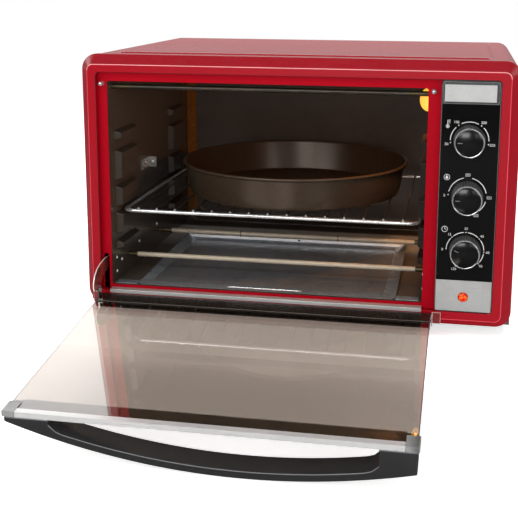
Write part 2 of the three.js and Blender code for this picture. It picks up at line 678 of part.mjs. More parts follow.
// Control panel moulding with shallow pockets for its three plates
const knobNames = Object.keys(knobHeights);
const plateGap = gap / 2;
const lowerPlate = { low: panel.low + panelEdge.rim, high: dial.low - gap };
const pocketLeft = panel.left + panelEdge.rim;
const pocketRight = panel.right - panelEdge.rim;
function controlPanel() {
  const blank = plateXZ(
    rectShape(panel.left, panel.right, panel.low, panel.high, panelEdge.corner),
    panel.front, panel.back);
  const floor = panel.front + panelEdge.pocket;
  const pocket = (x0, x1, z0, z1) => box(x0, x1, panel.front - overrun, floor, z0, z1);
  const holes = knobNames.map((k) => rodY(
    panel.front, panel.back + overrun, dial.x, knobHeights[k], spindle.hole, fine.small));
  return cut(blank, [
    pocket(pocketLeft, pocketRight, lowerPlate.low, dial.high + plateGap),
    pocket(badge.left - plateGap, badge.right + plateGap, badge.low - plateGap, badge.high + plateGap),
    ...holes,
    rodY(panel.front, panel.back + overrun, dial.x, lens.z, lens.radius + gap),
  ]);
}
add("control_panel", controlPanel(), "moulding");
const plateFront = panel.front;
const plateBack = panel.front + panelEdge.pocket - plateGap;
const plateLeft = pocketLeft + plateGap;
const plateRight = pocketRight - plateGap;
add("dial_plate", plateXZ(holed(
  rectShape(plateLeft, plateRight, dial.low, dial.high),
  knobNames.map((k) => discShape(dial.x, knobHeights[k], spindle.hole, fine.small)),
), plateFront, plateBack), "gloss");
add("badge_plate", plateXZ(
  rectShape(badge.left, badge.right, badge.low, badge.high), plateFront, plateBack), "steel");
add("lower_plate", plateXZ(holed(
  rectShape(plateLeft, plateRight, lowerPlate.low + plateGap, lowerPlate.high),
  [discShape(dial.x, lens.z, lens.radius + gap)],
), plateFront, plateBack), "steel");
add("indicator_lens", turned([
  [0, lens.front], [lens.radius * 0.6, lens.front], [lens.radius, lens.front + lens.radius * 0.3],
  [lens.radius, lens.back], [0, lens.back],
], "y", [dial.x, 0, lens.z], fine.small), "lens");

// Switch bodies, spindles, knobs and chrome rings
function knobBody(key) {
  const front = -knobLength[key];
  const ringBack = front + knobFace.ringWide + knobFace.lip;
  const station = (y, r, flute) => {
    const loop = [];
    for (let i = 0; i < fine.knob; i += 1) {
      const a = i / fine.knob * 2 * Math.PI;
      const deep = i % 2 ? flute : 0;
      loop.push([(r - deep) * Math.cos(a), y, (r - deep) * Math.sin(a)]);
    }
    return loop;
  };
  const seat = knob.waist - knobFace.ringSkin - gap;
  const blank = loft([
    station(knob.back, knob.radius, knob.flute),
    station(ringBack, knob.waist + gap, knob.flute),
    station(ringBack, seat, 0),
    station(front + knobFace.lip, seat, 0),
    station(front + knobFace.lip - knobFace.dome * 0.5, seat * 0.72, 0),
    station(front + knobFace.lip - knobFace.dome * 0.85, seat * 0.4, 0),
    station(front + knobFace.lip - knobFace.dome, seat * 0.1, 0),
  ]);
  const tip = front + knobFace.lip - knobFace.dome;
  const bar = box(-pointer.outer, -pointer.inner, tip + pointer.rise * 0.4, front + knobFace.dome,
    -pointer.width / 2, pointer.width / 2);
  const bore = turned([
    [0, knob.back - spindle.inKnob - gap], [knob.bore, knob.back - spindle.inKnob - gap],
    [knob.bore, knob.back + overrun], [0, knob.back + overrun],
  ], "y", [0, 0, 0], fine.small);
  const turn = THREE.MathUtils.degToRad(turnedBy[key]);
  return cut(join([blank, bar]), [bore]).rotateY(turn).translate(dial.x, 0, knobHeights[key]);
}
const switchNames = { thermostat: "thermostat", selector: "selector_switch", timer: "timer" };
for (const key of knobNames) {
  const z = knobHeights[key];
  const form = switchBody[key];
  const blank = plateXZ(rectShape(dial.x - form.width / 2, dial.x + form.width / 2,
    z - form.height / 2, z + form.height / 2, foot.edge), switchFront, switchFront + form.depth);
  const bore = rodY(
    switchFront - overrun, spindle.back + gap, dial.x, z, spindle.radius + gap, fine.small);
  add(switchNames[key], cut(blank, [bore]), "black");
  add(`${key}_spindle`, rodY(
    knob.back - spindle.inKnob, spindle.back, dial.x, z, spindle.radius, fine.small), "steel");
  add(`${key}_knob`, knobBody(key), "black");
  const ringFront = knobFace.lip - knobLength[key];
  const inner = knob.waist - knobFace.ringSkin;
  add(`${key}_ring`, turned([
    [inner, ringFront], [knob.waist, ringFront + gap], [knob.waist, ringFront + knobFace.ringWide - gap],
    [inner, ringFront + knobFace.ringWide - gap], [inner, ringFront],
  ], "y", [dial.x, 0, z]), "chrome");
}

// Door glass, rails, end caps and handle
add("door_glass", laidOpen(box(
  door.left, door.right, glass.front, glass.back, glass.low, glass.high)), "glass");

function doorTopRail() {
  const r = topRail;
  return plateYZ(outline([
    [r.front, r.low], [glass.front - gap, r.low], [glass.front - gap, r.high - r.web],
    [glass.back + gap, r.high - r.web], [glass.back + gap, r.high - r.lip],
    [r.back, r.high - r.lip],
    [r.back, r.high], [r.front, r.high],
  ]), door.left + cap.width + gap, door.right - cap.width - gap);
}
add("door_top_rail", laidOpen(doorTopRail()), "aluminium");

for (const [name, x0, x1] of [
  ["door_cap_left", door.left - cap.beyond, door.left + cap.width],
  ["door_cap_right", door.right - cap.width, door.right + cap.beyond],
]) {
  const blank = box(x0, x1, topRail.front, topRail.back, cap.low, topRail.high);
  const slotIn = box(door.left - gap, door.right + gap, glass.front - gap, glass.back + gap,
    cap.low - overrun, glass.high + gap);
  add(name, laidOpen(cut(blank, [slotIn])), "aluminium");
}

function doorHandle() {
  const width = door.right - door.left;
  const h = handle;
  const steps = fine.round;
  const outerAt = (u) => -(h.endLeft + (h.endRight - h.endLeft) * u + h.bow * 4 * u * (1 - u));
  const outer = [];
  for (let i = 0; i <= steps; i += 1) {
    const u = i / steps;
    outer.push([door.left + width * u, outerAt(u)]);
  }
  const start = h.postLeft / width;
  const end = 1 - h.postRight / width;
  const inner = [];
  for (let i = 0; i <= steps; i += 1) {
    const u = end - (end - start) * i / steps;
    const edge = Math.min(i, steps - i) / steps * width * (end - start);
    const fillet = Math.max(0, 1 - edge / (h.fillet * 2)) ** 2 * h.fillet;
    inner.push([door.left + width * u, Math.min(outerAt(u) + h.band + fillet, h.back - gap)]);
  }
  return plateXY(outline([
    ...outer, [door.right, h.back], [door.right - h.postRight, h.back],
    ...inner, [door.left + h.postLeft, h.back], [door.left, h.back],
  ]), h.low, h.high);
}
add("handle", laidOpen(doorHandle()), "black");

function doorBottomRail() {
  const r = lowRail;
  const c = r.corner;
  const blank = plateYZ(outline([
    [r.front, r.low + c], [r.front + c, r.low], [r.back - c * 0.3, r.low], [r.back, r.low + c * 0.3],
    [r.back, r.high], [glass.back + gap, r.high], [glass.back + gap, r.seat],
    [glass.front - gap, r.seat], [glass.front - gap, r.high], [r.front + c, r.high],
    [r.front, r.high - c],
  ]), door.left, door.right);
  const reach = pin.reach + gap;
  return cut(blank, [
    rodX(door.left - overrun, door.left + reach, 0, 0, pin.hole, fine.small),
    rodX(door.right - reach, door.right + overrun, 0, 0, pin.hole, fine.small),
  ]);
}
add("door_bottom_rail", laidOpen(doorBottomRail()), "black");

// Hinge: brackets on the frame, pins, and the door's left plate with the rivet of the arm
for (const [name, side, end] of [["left", -1, door.left], ["right", 1, door.right]]) {
  const near = end + side * bracket.away;
  const far = near + side * bracket.flange;
  const faceBack = -gap;
  const faceFront = faceBack - bracket.skin;
  const xs = (points) => outline(side < 0 ? points : [...points].reverse());
  const blank = plateXY(xs([
    [near, -bracket.reach], [near, faceBack], [far, faceBack], [far, faceFront],
    [near + side * bracket.skin, faceFront], [near + side * bracket.skin, -bracket.reach],
  ]), bracket.low, bracket.high);
  const hole = rodX(near - bracket.flange, near + bracket.flange, pivot.y, pivot.z, pin.hole, fine.small);
  add(`hinge_bracket_${name}`, cut(blank, [hole]), "steel");
  const outerEnd = near + side * (bracket.skin + gap);
  const innerEnd = end - side * pin.reach;
  add(`hinge_pin_${name}`, rodX(Math.min(outerEnd, innerEnd), Math.max(outerEnd, innerEnd),
    pivot.y, pivot.z, pin.radius, fine.small), "steel");
}

function hingePlate() {
  const x1 = ear.inner;
  const x0 = ear.inner - ear.skin;
  const rootBack = lowRail.back + gap;
  const blade = [[rootBack, ear.low], [rivet.y, ear.low]];
  for (let i = 1; i <= fine.corner; i += 1) {
    const a = (i / fine.corner - 0.5) * Math.PI;
    blade.push([rivet.y + rivet.boss * Math.cos(a), rivet.z + rivet.boss * Math.sin(a)]);
  }
  blade.push([rootBack, ear.high]);
  const plate = plateYZ(outline(blade), x0, x1);
  const flange = box(x0, x1 + ear.flange, rootBack, rootBack + ear.flangeSkin, ear.low, ear.high);
  const armFar = x0 - gap - arm.skin - gap;
  const shank = rodX(armFar, x0 + gap, rivet.y, rivet.z, rivet.radius, fine.small);
  const head = rodX(armFar - rivet.headSkin, armFar, rivet.y, rivet.z, rivet.head, fine.small);
  return join([plate, flange, shank, head]);
}
add("hinge_plate", laidOpen(hingePlate()), "steel");

// Hinge arm: rides on the rivet and runs through the slot
function hingeArm() {
  const x1 = ear.inner - ear.skin - gap;
  const c = Math.cos(openTurn);
  const s = Math.sin(openTurn);
  const y = pivot.y + rivet.y * c - rivet.z * s;
  const z = pivot.z + rivet.y * s + rivet.z * c;
  const hole = rodX(x1 - arm.skin - overrun, x1 + overrun, y, z, arm.hole, fine.small);
  return cut(plateYZ(outline(armOutline), x1 - arm.skin, x1), [hole]);
}
add("hinge_arm", hingeArm(), "steel");

// Rack: closed frame wire with fifteen wires across the top
function wireRack() {
  const k = rack;
  const cx = (k.left + k.right) / 2;
  const cy = (k.front + k.back) / 2;
  const frame = roundRect((k.right - k.left) / 2, (k.back - k.front) / 2, k.corner).map(
    ([x, y]) => [x + cx, y + cy, k.z]);
  const pieces = [wire(frame, k.radius, true)];
  for (let i = -wiresEachSide; i <= wiresEachSide; i += 1) {
    const x = cx + i * rackWire.pitch;
    const z = k.z + rackWire.rise;
    pieces.push(wire([
      [x, k.front - rackWire.past, z], [x, k.back + rackWire.past, z]], rackWire.radius, false, 6));
  }
  return join(pieces);
}
add("rack", wireRack(), "chrome");

// Pan: straight-sided round tin with a rolled rim
function roundPan() {
  const p = pan;
  const top = p.low + p.height;
  const b = p.bead;
  const flat = p.radius - p.foot;
  return turned([
    [0, p.low], [flat - b, p.low], [flat, p.low + b], [p.radius - b, top - b * 1.6],
    [p.radius, top - b], [p.radius, top - b * 0.4], [p.radius - b * 0.5, top],
    [p.radius - b * 1.2, top - b * 0.4],
    [flat - p.wall, p.low + b + p.wall], [flat - b - p.wall, p.low + p.wall], [0, p.low + p.wall],
  ], "z", [p.x, p.y, 0], fine.pan);
}
add("pan", roundPan(), "pan");

// Crumb tray: flat floor, sloped border and rim; the back rim stands higher, and two wings
// carry the front rim on to the side walls
function crumbTray() {
  const t = tray;
  const f = trayForm;
  const cx = (t.left + t.right) / 2;
  const cy = (t.front + t.back) / 2;
  const halfW = (t.right - t.left) / 2;
  const halfL = (t.back - t.front) / 2;
  const loop = (inset, z, backLift = 0) => roundRect(halfW - inset, halfL - inset, f.corner).map(
    ([x, y]) => [x + cx, y + cy, z + (y > 0 ? backLift : 0)]);
  const lift = f.rearHigh - t.high;
  const sheetForm = loft([
    loop(f.rim + f.slope, t.low + t.skin), loop(f.rim, t.high, lift), loop(0, t.high, lift),
    loop(0, t.high - t.skin, lift), loop(f.rim, t.high - t.skin, lift),
    loop(f.rim + f.slope, t.low),
  ]);
  const wings = [t.left, t.right].map((edge, k) => box(
    edge - (k ? f.corner : f.wing), edge + (k ? f.wing : f.corner),
    t.front, t.front + f.wingDeep, t.high - t.skin, t.high));
  return join([sheetForm, ...wings]);
}
add("crumb_tray", crumbTray(), "zinc");

// Wire pull that rests on the tray's front rim and leans forward over the lip of the opening
function trayBail() {
  const b = bail;
  const y = tray.front + b.inset;
  const low = tray.high + gap + b.radius;
  const centre = (tray.left + tray.right) / 2;
  const left = centre - b.toLeft;
  const right = centre + b.toRight;
  return wire([
    [left, y, low], [left + b.bend, y - b.reach, low + b.rise],
    [right - b.bend, y - b.reach, low + b.rise], [right, y, low],
  ], b.radius, false, fine.wire);
}
add("tray_bail", trayBail(), "chrome");

export default group;
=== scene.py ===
"""Mini oven with its glass door laid open: the visual model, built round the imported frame."""

from __future__ import annotations

import logging
import math
from dataclasses import dataclass, replace
from enum import Enum
from typing import Callable, Sequence

import bmesh
import bpy
from mathutils import Matrix, Vector


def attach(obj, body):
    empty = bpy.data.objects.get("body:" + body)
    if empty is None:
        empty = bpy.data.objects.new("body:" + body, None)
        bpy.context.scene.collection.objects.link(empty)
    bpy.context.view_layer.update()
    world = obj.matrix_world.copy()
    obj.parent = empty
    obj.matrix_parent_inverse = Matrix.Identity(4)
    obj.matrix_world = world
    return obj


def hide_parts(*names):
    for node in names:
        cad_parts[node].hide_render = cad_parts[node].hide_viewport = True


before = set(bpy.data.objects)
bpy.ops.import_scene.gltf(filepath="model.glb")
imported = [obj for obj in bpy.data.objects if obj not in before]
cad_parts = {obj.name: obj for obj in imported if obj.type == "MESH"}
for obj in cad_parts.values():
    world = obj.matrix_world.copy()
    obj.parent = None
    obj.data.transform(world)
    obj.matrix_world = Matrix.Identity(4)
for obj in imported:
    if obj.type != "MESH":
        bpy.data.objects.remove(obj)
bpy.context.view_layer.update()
LOG = logging.getLogger("mini_oven")

Point = tuple[float, float, float]
Flat = tuple[float, float]
Socket = bpy.types.NodeSocket
Face = bmesh.types.BMFace

MM = 0.001
HALF_DEPTH = 205.0
PIVOT = Vector((0.0, -7.3, 14.3))
OPEN_ANGLE = math.radians(97.1)
SMOOTH_ANGLE = math.radians(38)
# A numeral's height as a share of its font size, and half its thickness
NUMERAL_SHARE = 0.7
NUMERAL_HALF = 0.04
CLEAR = 0.3
WELD = 0.001
NOISE_SPAN = (0.3, 0.7)
DUST_COLOUR = (190, 176, 170)

# Depths of the finishes' relief, in metres
PEEL_DEPTH = 0.0001
BRUSH_DEPTH = 0.0002
TOOTH_DEPTH = 0.00015
# Where the painted light on the cavity floor's rear part comes in and ends, along the frame's Y in
# metres
PAINTED_LIGHT_START = (0.01, 0.1)
PAINTED_LIGHT_END = (0.142, 0.132)


class Body(Enum):
    """The moving bodies of the frame."""

    HOUSING = "housing"
    DOOR = "door"
    ARM = "arm"
    RACK = "rack_body"
    PAN = "pan_body"
    TRAY = "tray_body"
    THERMOSTAT = "thermostat_dial"
    SELECTOR = "selector_dial"
    TIMER = "timer_dial"


class Axis(Enum):
    """The axis along which a flat form gets its thickness, or about which a form is turned."""

    X = (1.0, 0.0, 0.0)
    Y = (0.0, 1.0, 0.0)
    Z = (0.0, 0.0, 1.0)


# Shader nodes


def linear(colour: Sequence[int]) -> tuple[float, ...]:
    """Turns a screen colour into Blender's linear values.

    Args:
        colour: red, green and blue, 0 to 255.

    Returns:
        Linear red, green and blue, and an alpha of 1.
    """
    parts = [value / 255 for value in colour]
    return (*(c / 12.92 if c <= 0.04045 else ((c + 0.055) / 1.055) ** 2.4 for c in parts), 1.0)


@dataclass
class Wiring:
    """A node tree and short ways to add to it."""

    tree: bpy.types.NodeTree

    def fill(self, node: bpy.types.Node, wires: dict) -> None:
        """Sets or links a node's inputs.

        Args:
            node: the node.
            wires: a value or an output socket for each input's name or index.
        """
        for key, value in wires.items():
            if isinstance(value, Socket):
                self.tree.links.new(value, node.inputs[key])
            else:
                node.inputs[key].default_value = value

    def node(self, kind: str, wires: dict | None = None, **settings: object) -> bpy.types.Node:
        """Adds a shader node.

        Args:
            kind: its type, without ShaderNode.
            wires: inputs to set or link.
            settings: its properties.

        Returns:
            The node.
        """
        made = self.tree.nodes.new(f"ShaderNode{kind}")
        for key, value in settings.items():
            setattr(made, key, value)
        self.fill(made, wires or {})
        return made

    def place(self) -> Socket:
        """Object coordinates."""
        return self.node("TexCoord").outputs["Object"]

    def noise(self, scale: object, detail: float, place: Socket | None = None,
              roughness: float = 0.5) -> Socket:
        """Noise of 0 to 1.

        Args:
            scale: a number or a socket.
            detail: octaves.
            place: coordinates, Object coordinates if none are given.
            roughness: weight of the finer octaves.

        Returns:
            The output socket.
        """
        return self.node("TexNoise", {
            "Vector": place or self.place(), "Scale": scale, "Detail": detail,
            "Roughness": roughness}).outputs["Fac"]

    def maths(self, kind: str, *values: object, clamp: bool = False) -> Socket:
        """One step of arithmetic on numbers or sockets."""
        return self.node("Math", dict(enumerate(values)), operation=kind,
                         use_clamp=clamp).outputs[0]

    def mapped(self, value: Socket, given: Sequence, result: Flat = (0.0, 1.0),
               kind: str = "LINEAR") -> Socket:
        """Maps a value from one range to another, and stops at its ends.

        Args:
            value: the value.
            given: ends of the range that it has, as numbers or sockets.
            result: ends of the range that it gets.
            kind: interpolation.

        Returns:
            The output socket.
        """
        return self.node("MapRange", {
            "Value": value, "From Min": given[0], "From Max": given[1], "To Min": result[0],
            "To Max": result[1]}, interpolation_type=kind).outputs["Result"]

    def blend(self, mask: Socket, first: object, second: object) -> Socket:
        """Mixes two colours: where the mask is 0 the first, where it is 1 the second."""
        return self.node("Mix", {6: first, 7: second, "Factor": mask},
                         data_type="RGBA").outputs[2]

    def either(self, mask: Socket, off: object, on: object) -> Socket:
        """Mixes two numbers by a mask."""
        return self.node("Mix", {0: mask, 2: off, 3: on}).outputs[0]

    def group(self, effect: Effect, **values: float) -> Socket:
        """Places a node group.

        Args:
            effect: the group's effect.
            values: input values, with underscores for spaces.

        Returns:
            The group's output socket.
        """
        node = self.node("Group", node_tree=effect.tree())
        self.fill(node, {key.replace("_", " "): value for key, value in values.items()})
        return node.outputs[0]

    def bump(self, height: Socket, strength: float, distance: float) -> Socket:
        """Turns a height into a normal, its distance in metres."""
        return self.node("Bump", {"Height": height, "Strength": strength,
                                  "Distance": distance}).outputs["Normal"]


def mottle(net: Wiring, given: dict) -> Socket:
    """Soft cloudy variation from two sizes of noise, 0 to 1.

    Args:
        net: the group's tree.
        given: its inputs.

    Returns:
        The value.
    """
    place = net.place()
    fine = net.maths("MULTIPLY", net.noise(given["Fine"], 4.0, place), 0.35)
    return net.maths("MULTIPLY_ADD", net.noise(given["Size"], 3.0, place), 0.65, fine)


def brushed_grain(net: Wiring, given: dict) -> Socket:
    """Brushed grain: noise drawn out along an axis by three stretch values.

    Args:
        net: the group's tree.
        given: its inputs.

    Returns:
        The value.
    """
    stretch = net.node("CombineXYZ", {k: given[f"Along {k}"] for k in "XYZ"}).outputs[0]
    place = net.node("VectorMath", {0: net.place(), 1: stretch}, operation="MULTIPLY")
    return net.noise(given["Scale"], 4.0, place.outputs[0], 0.6)


def edge_wear(net: Wiring, given: dict) -> Socket:
    """Edge mask: where a surface turns outwards, from Start over Reach, broken up by noise.

    Args:
        net: the group's tree.
        given: its inputs.

    Returns:
        The mask.
    """
    point = net.node("NewGeometry").outputs["Pointiness"]
    end = net.maths("ADD", given["Start"], given["Reach"])
    return net.maths("MULTIPLY", net.mapped(point, (given["Start"], end)),
                     net.noise(160.0, 5.0))


def settled_dust(net: Wiring, given: dict) -> Socket:
    """Faint settled dust: a mask on faces that look up, broken up by noise.

    Args:
        net: the group's tree.
        given: its inputs.

    Returns:
        The mask.
    """
    up = net.node("SeparateXYZ", {0: net.node("NewGeometry").outputs["Normal"]}).outputs["Z"]
    patches = net.mapped(net.noise(55.0, 8.0), (0.45, 0.75))
    covered = net.maths("MULTIPLY", up, patches, clamp=True)
    return net.maths("MULTIPLY", covered, given["Amount"])


class Effect(Enum):
    """The node groups that finishes share: recipe, name, output and inputs with defaults."""

    MOTTLE = (mottle, "mottle", "Value", {"Size": 40.0, "Fine": 220.0})
    GRAIN = (brushed_grain, "brushed_grain", "Value",
             {"Along X": 1.0, "Along Y": 1.0, "Along Z": 1.0, "Scale": 900.0})
    WEAR = (edge_wear, "edge_wear", "Mask", {"Start": 0.53, "Reach": 0.06})
    DUST = (settled_dust, "settled_dust", "Mask", {"Amount": 0.1})

    def tree(self) -> bpy.types.NodeTree:
        """Builds the group on first use.

        Returns:
            The group.
        """
        recipe, name, output, inputs = self.value
        tree = bpy.data.node_groups.get(name)
        if tree is None:
            tree = bpy.data.node_groups.new(name, "ShaderNodeTree")
            kind = "NodeSocketFloat"
            for key, value in inputs.items():
                socket = tree.interface.new_socket(key, in_out="INPUT", socket_type=kind)
                socket.default_value = value
            tree.interface.new_socket(output, in_out="OUTPUT", socket_type=kind)
            result = recipe(Wiring(tree), tree.nodes.new("NodeGroupInput").outputs)
            tree.links.new(result, tree.nodes.new("NodeGroupOutput").inputs[output])
        return tree


@dataclass(frozen=True)
class Finish:
    """Common base of the finishes: a name, the record's slot and a screen colour."""

    name: str
    slot: str
    colour: tuple[int, ...]
    roughness: float
    specular: float = 0.5

    def around(self, net: Wiring, value: Socket, below: float, above: float) -> Socket:
        """Lets the roughness vary by a noise, from below its value to above it."""
        return net.mapped(value, NOISE_SPAN, (self.roughness - below, self.roughness + above))

    def clouded(self, net: Wiring, value: Socket, other: Sequence[int]) -> Socket:
        """Mixes the colour with another by a noise."""
        return net.blend(net.mapped(value, NOISE_SPAN), linear(self.colour), linear(other))

    def wires(self, net: Wiring) -> dict:
        """What the finish sets on the shader: nothing more in the base."""
        return {}

    def build(self) -> bpy.types.Material:
        """Makes the material.

        Returns:
            The material, with its Principled shader wired.
        """
        material = bpy.data.materials.new(self.name)
        material.use_nodes = True
        net = Wiring(material.node_tree)
        net.fill(material.node_tree.nodes["Principled BSDF"], {
            "Base Color": linear(self.colour), "Roughness": self.roughness,
            "Specular IOR Level": self.specular, **self.wires(net)})
        return material


@dataclass(frozen=True)
class Paint(Finish):
    """Baked paint on sheet: clear coat, faint orange peel, mottle and settled dust."""

    deep: tuple[int, ...] = (0, 0, 0)
    coat: float = 0.3
    peel: float = 0.02
    dust: float = 0.01

    def wires(self, net: Wiring) -> dict:
        """The paint's inputs.

        Args:
            net: the material's tree.

        Returns:
            Values and sockets by input.
        """
        cloud = net.group(Effect.MOTTLE, Size=9.0, Fine=60.0)
        peel = net.group(Effect.MOTTLE, Size=700.0, Fine=2100.0)
        dust = net.group(Effect.DUST, Amount=self.dust)
        return {
            "Base Color": net.blend(dust, self.clouded(net, cloud, self.deep),
                                    linear(DUST_COLOUR)),
            "Roughness": self.around(net, cloud, 0.02, 0.02),
            "Coat Weight": self.coat,
            "Coat Roughness": 0.08,
            "Normal": net.bump(peel, self.peel, PEEL_DEPTH),
        }


@dataclass(frozen=True)
class Metal(Finish):
    """Bare or plated metal: brushed grain, and brighter or duller clouds."""

    dull: tuple[int, ...] = (188, 188, 188)
    stretch: Point = (1.0, 1.0, 1.0)
    grain: float = 0.1
    cloud: float = 12.0
    spread: float = 0.08
    metallic: float = 1.0
    rear: tuple[int, ...] | None = None

    def wires(self, net: Wiring) -> dict:
        """The metal's inputs, with a pale strip of painted light on its rear part where it has one.

        Args:
            net: the material's tree.

        Returns:
            Values and sockets by input.
        """
        along_x, along_y, along_z = self.stretch
        brush = net.group(Effect.GRAIN, Along_X=along_x, Along_Y=along_y, Along_Z=along_z)
        cloud = net.group(Effect.MOTTLE, Size=self.cloud, Fine=self.cloud * 9)
        colour = self.clouded(net, cloud, self.dull)
        # Painted light: a pale strip mixed in over the rear part, along Y
        if self.rear:
            y = net.node("SeparateXYZ", {0: net.place()}).outputs["Y"]
            strip = net.maths("MULTIPLY", net.mapped(y, PAINTED_LIGHT_START), net.mapped(y, PAINTED_LIGHT_END))
            colour = net.blend(strip, colour, linear(self.rear))
        return {
            "Base Color": colour,
            "Metallic": self.metallic,
            "Roughness": self.around(net, brush, min(self.spread, self.roughness - 0.02),
                                     self.spread),
            "Normal": net.bump(brush, self.grain, BRUSH_DEPTH),
        }


@dataclass(frozen=True)
class Plastic(Finish):
    """Moulded plastic, enamel, ceramic or rubber with a fine tooth and slight wear on edges."""

    worn: tuple[int, ...] = (89, 89, 89)
    tooth: float = 0.2
    scale: float = 900.0
    coat: float = 0.0
    metallic: float = 0.0

    def wires(self, net: Wiring) -> dict:
        """The plastic's inputs.

        Args:
            net: the material's tree.

        Returns:
            Values and sockets by input.
        """
        tooth = net.group(Effect.MOTTLE, Size=self.scale, Fine=self.scale * 3)
        return {
            "Base Color": net.blend(net.group(Effect.WEAR), linear(self.colour),
                                    linear(self.worn)),
            "Metallic": self.metallic,
            "Coat Weight": self.coat,
            "Coat Roughness": 0.05,
            "Roughness": self.around(net, tooth, 0.04, 0.06),
            "Normal": net.bump(tooth, self.tooth, TOOTH_DEPTH),
        }


@dataclass(frozen=True)
class Glass(Finish):
    """Clear or tinted glass with the faintest smears."""

    bend: float = 1.5

    def wires(self, net: Wiring) -> dict:
        """The glass's inputs."""
        smear = net.group(Effect.MOTTLE, Size=14.0, Fine=90.0)
        return {"Transmission Weight": 1.0, "IOR": self.bend,
                "Roughness": self.around(net, smear, 0.0, 0.01)}


@dataclass(frozen=True)
class Glow(Finish):
    """Lit surface: a warm emission over a plain base, with painted glints in small cells where it
    is faceted.
    """

    strength: float = 5.0
    light: tuple[int, ...] = (255, 203, 137)
    painted_glint: tuple[int, ...] | None = None

    def wires(self, net: Wiring) -> dict:
        """The lit surface's inputs.

        Args:
            net: the material's tree.

        Returns:
            Values and sockets by input.
        """
        cloud = net.group(Effect.MOTTLE, Size=200.0, Fine=700.0)
        wires = {"Emission Color": linear(self.light), "Emission Strength": self.strength,
                 "Roughness": self.around(net, cloud, 0.0, 0.05)}
        # Painted glints: small cells of a lighter colour mixed into the base and the emission
        if self.painted_glint:
            cells = net.node("TexVoronoi", {"Scale": 520.0, "Vector": net.place()})
            share = net.node("SeparateColor", {0: cells.outputs["Color"]}).outputs[0]
            tone = net.blend(net.mapped(share, NOISE_SPAN, (-1.4, 1.0)), linear(self.colour),
                             linear(self.painted_glint))
            wires |= {"Base Color": tone, "Emission Color": tone}
        return wires


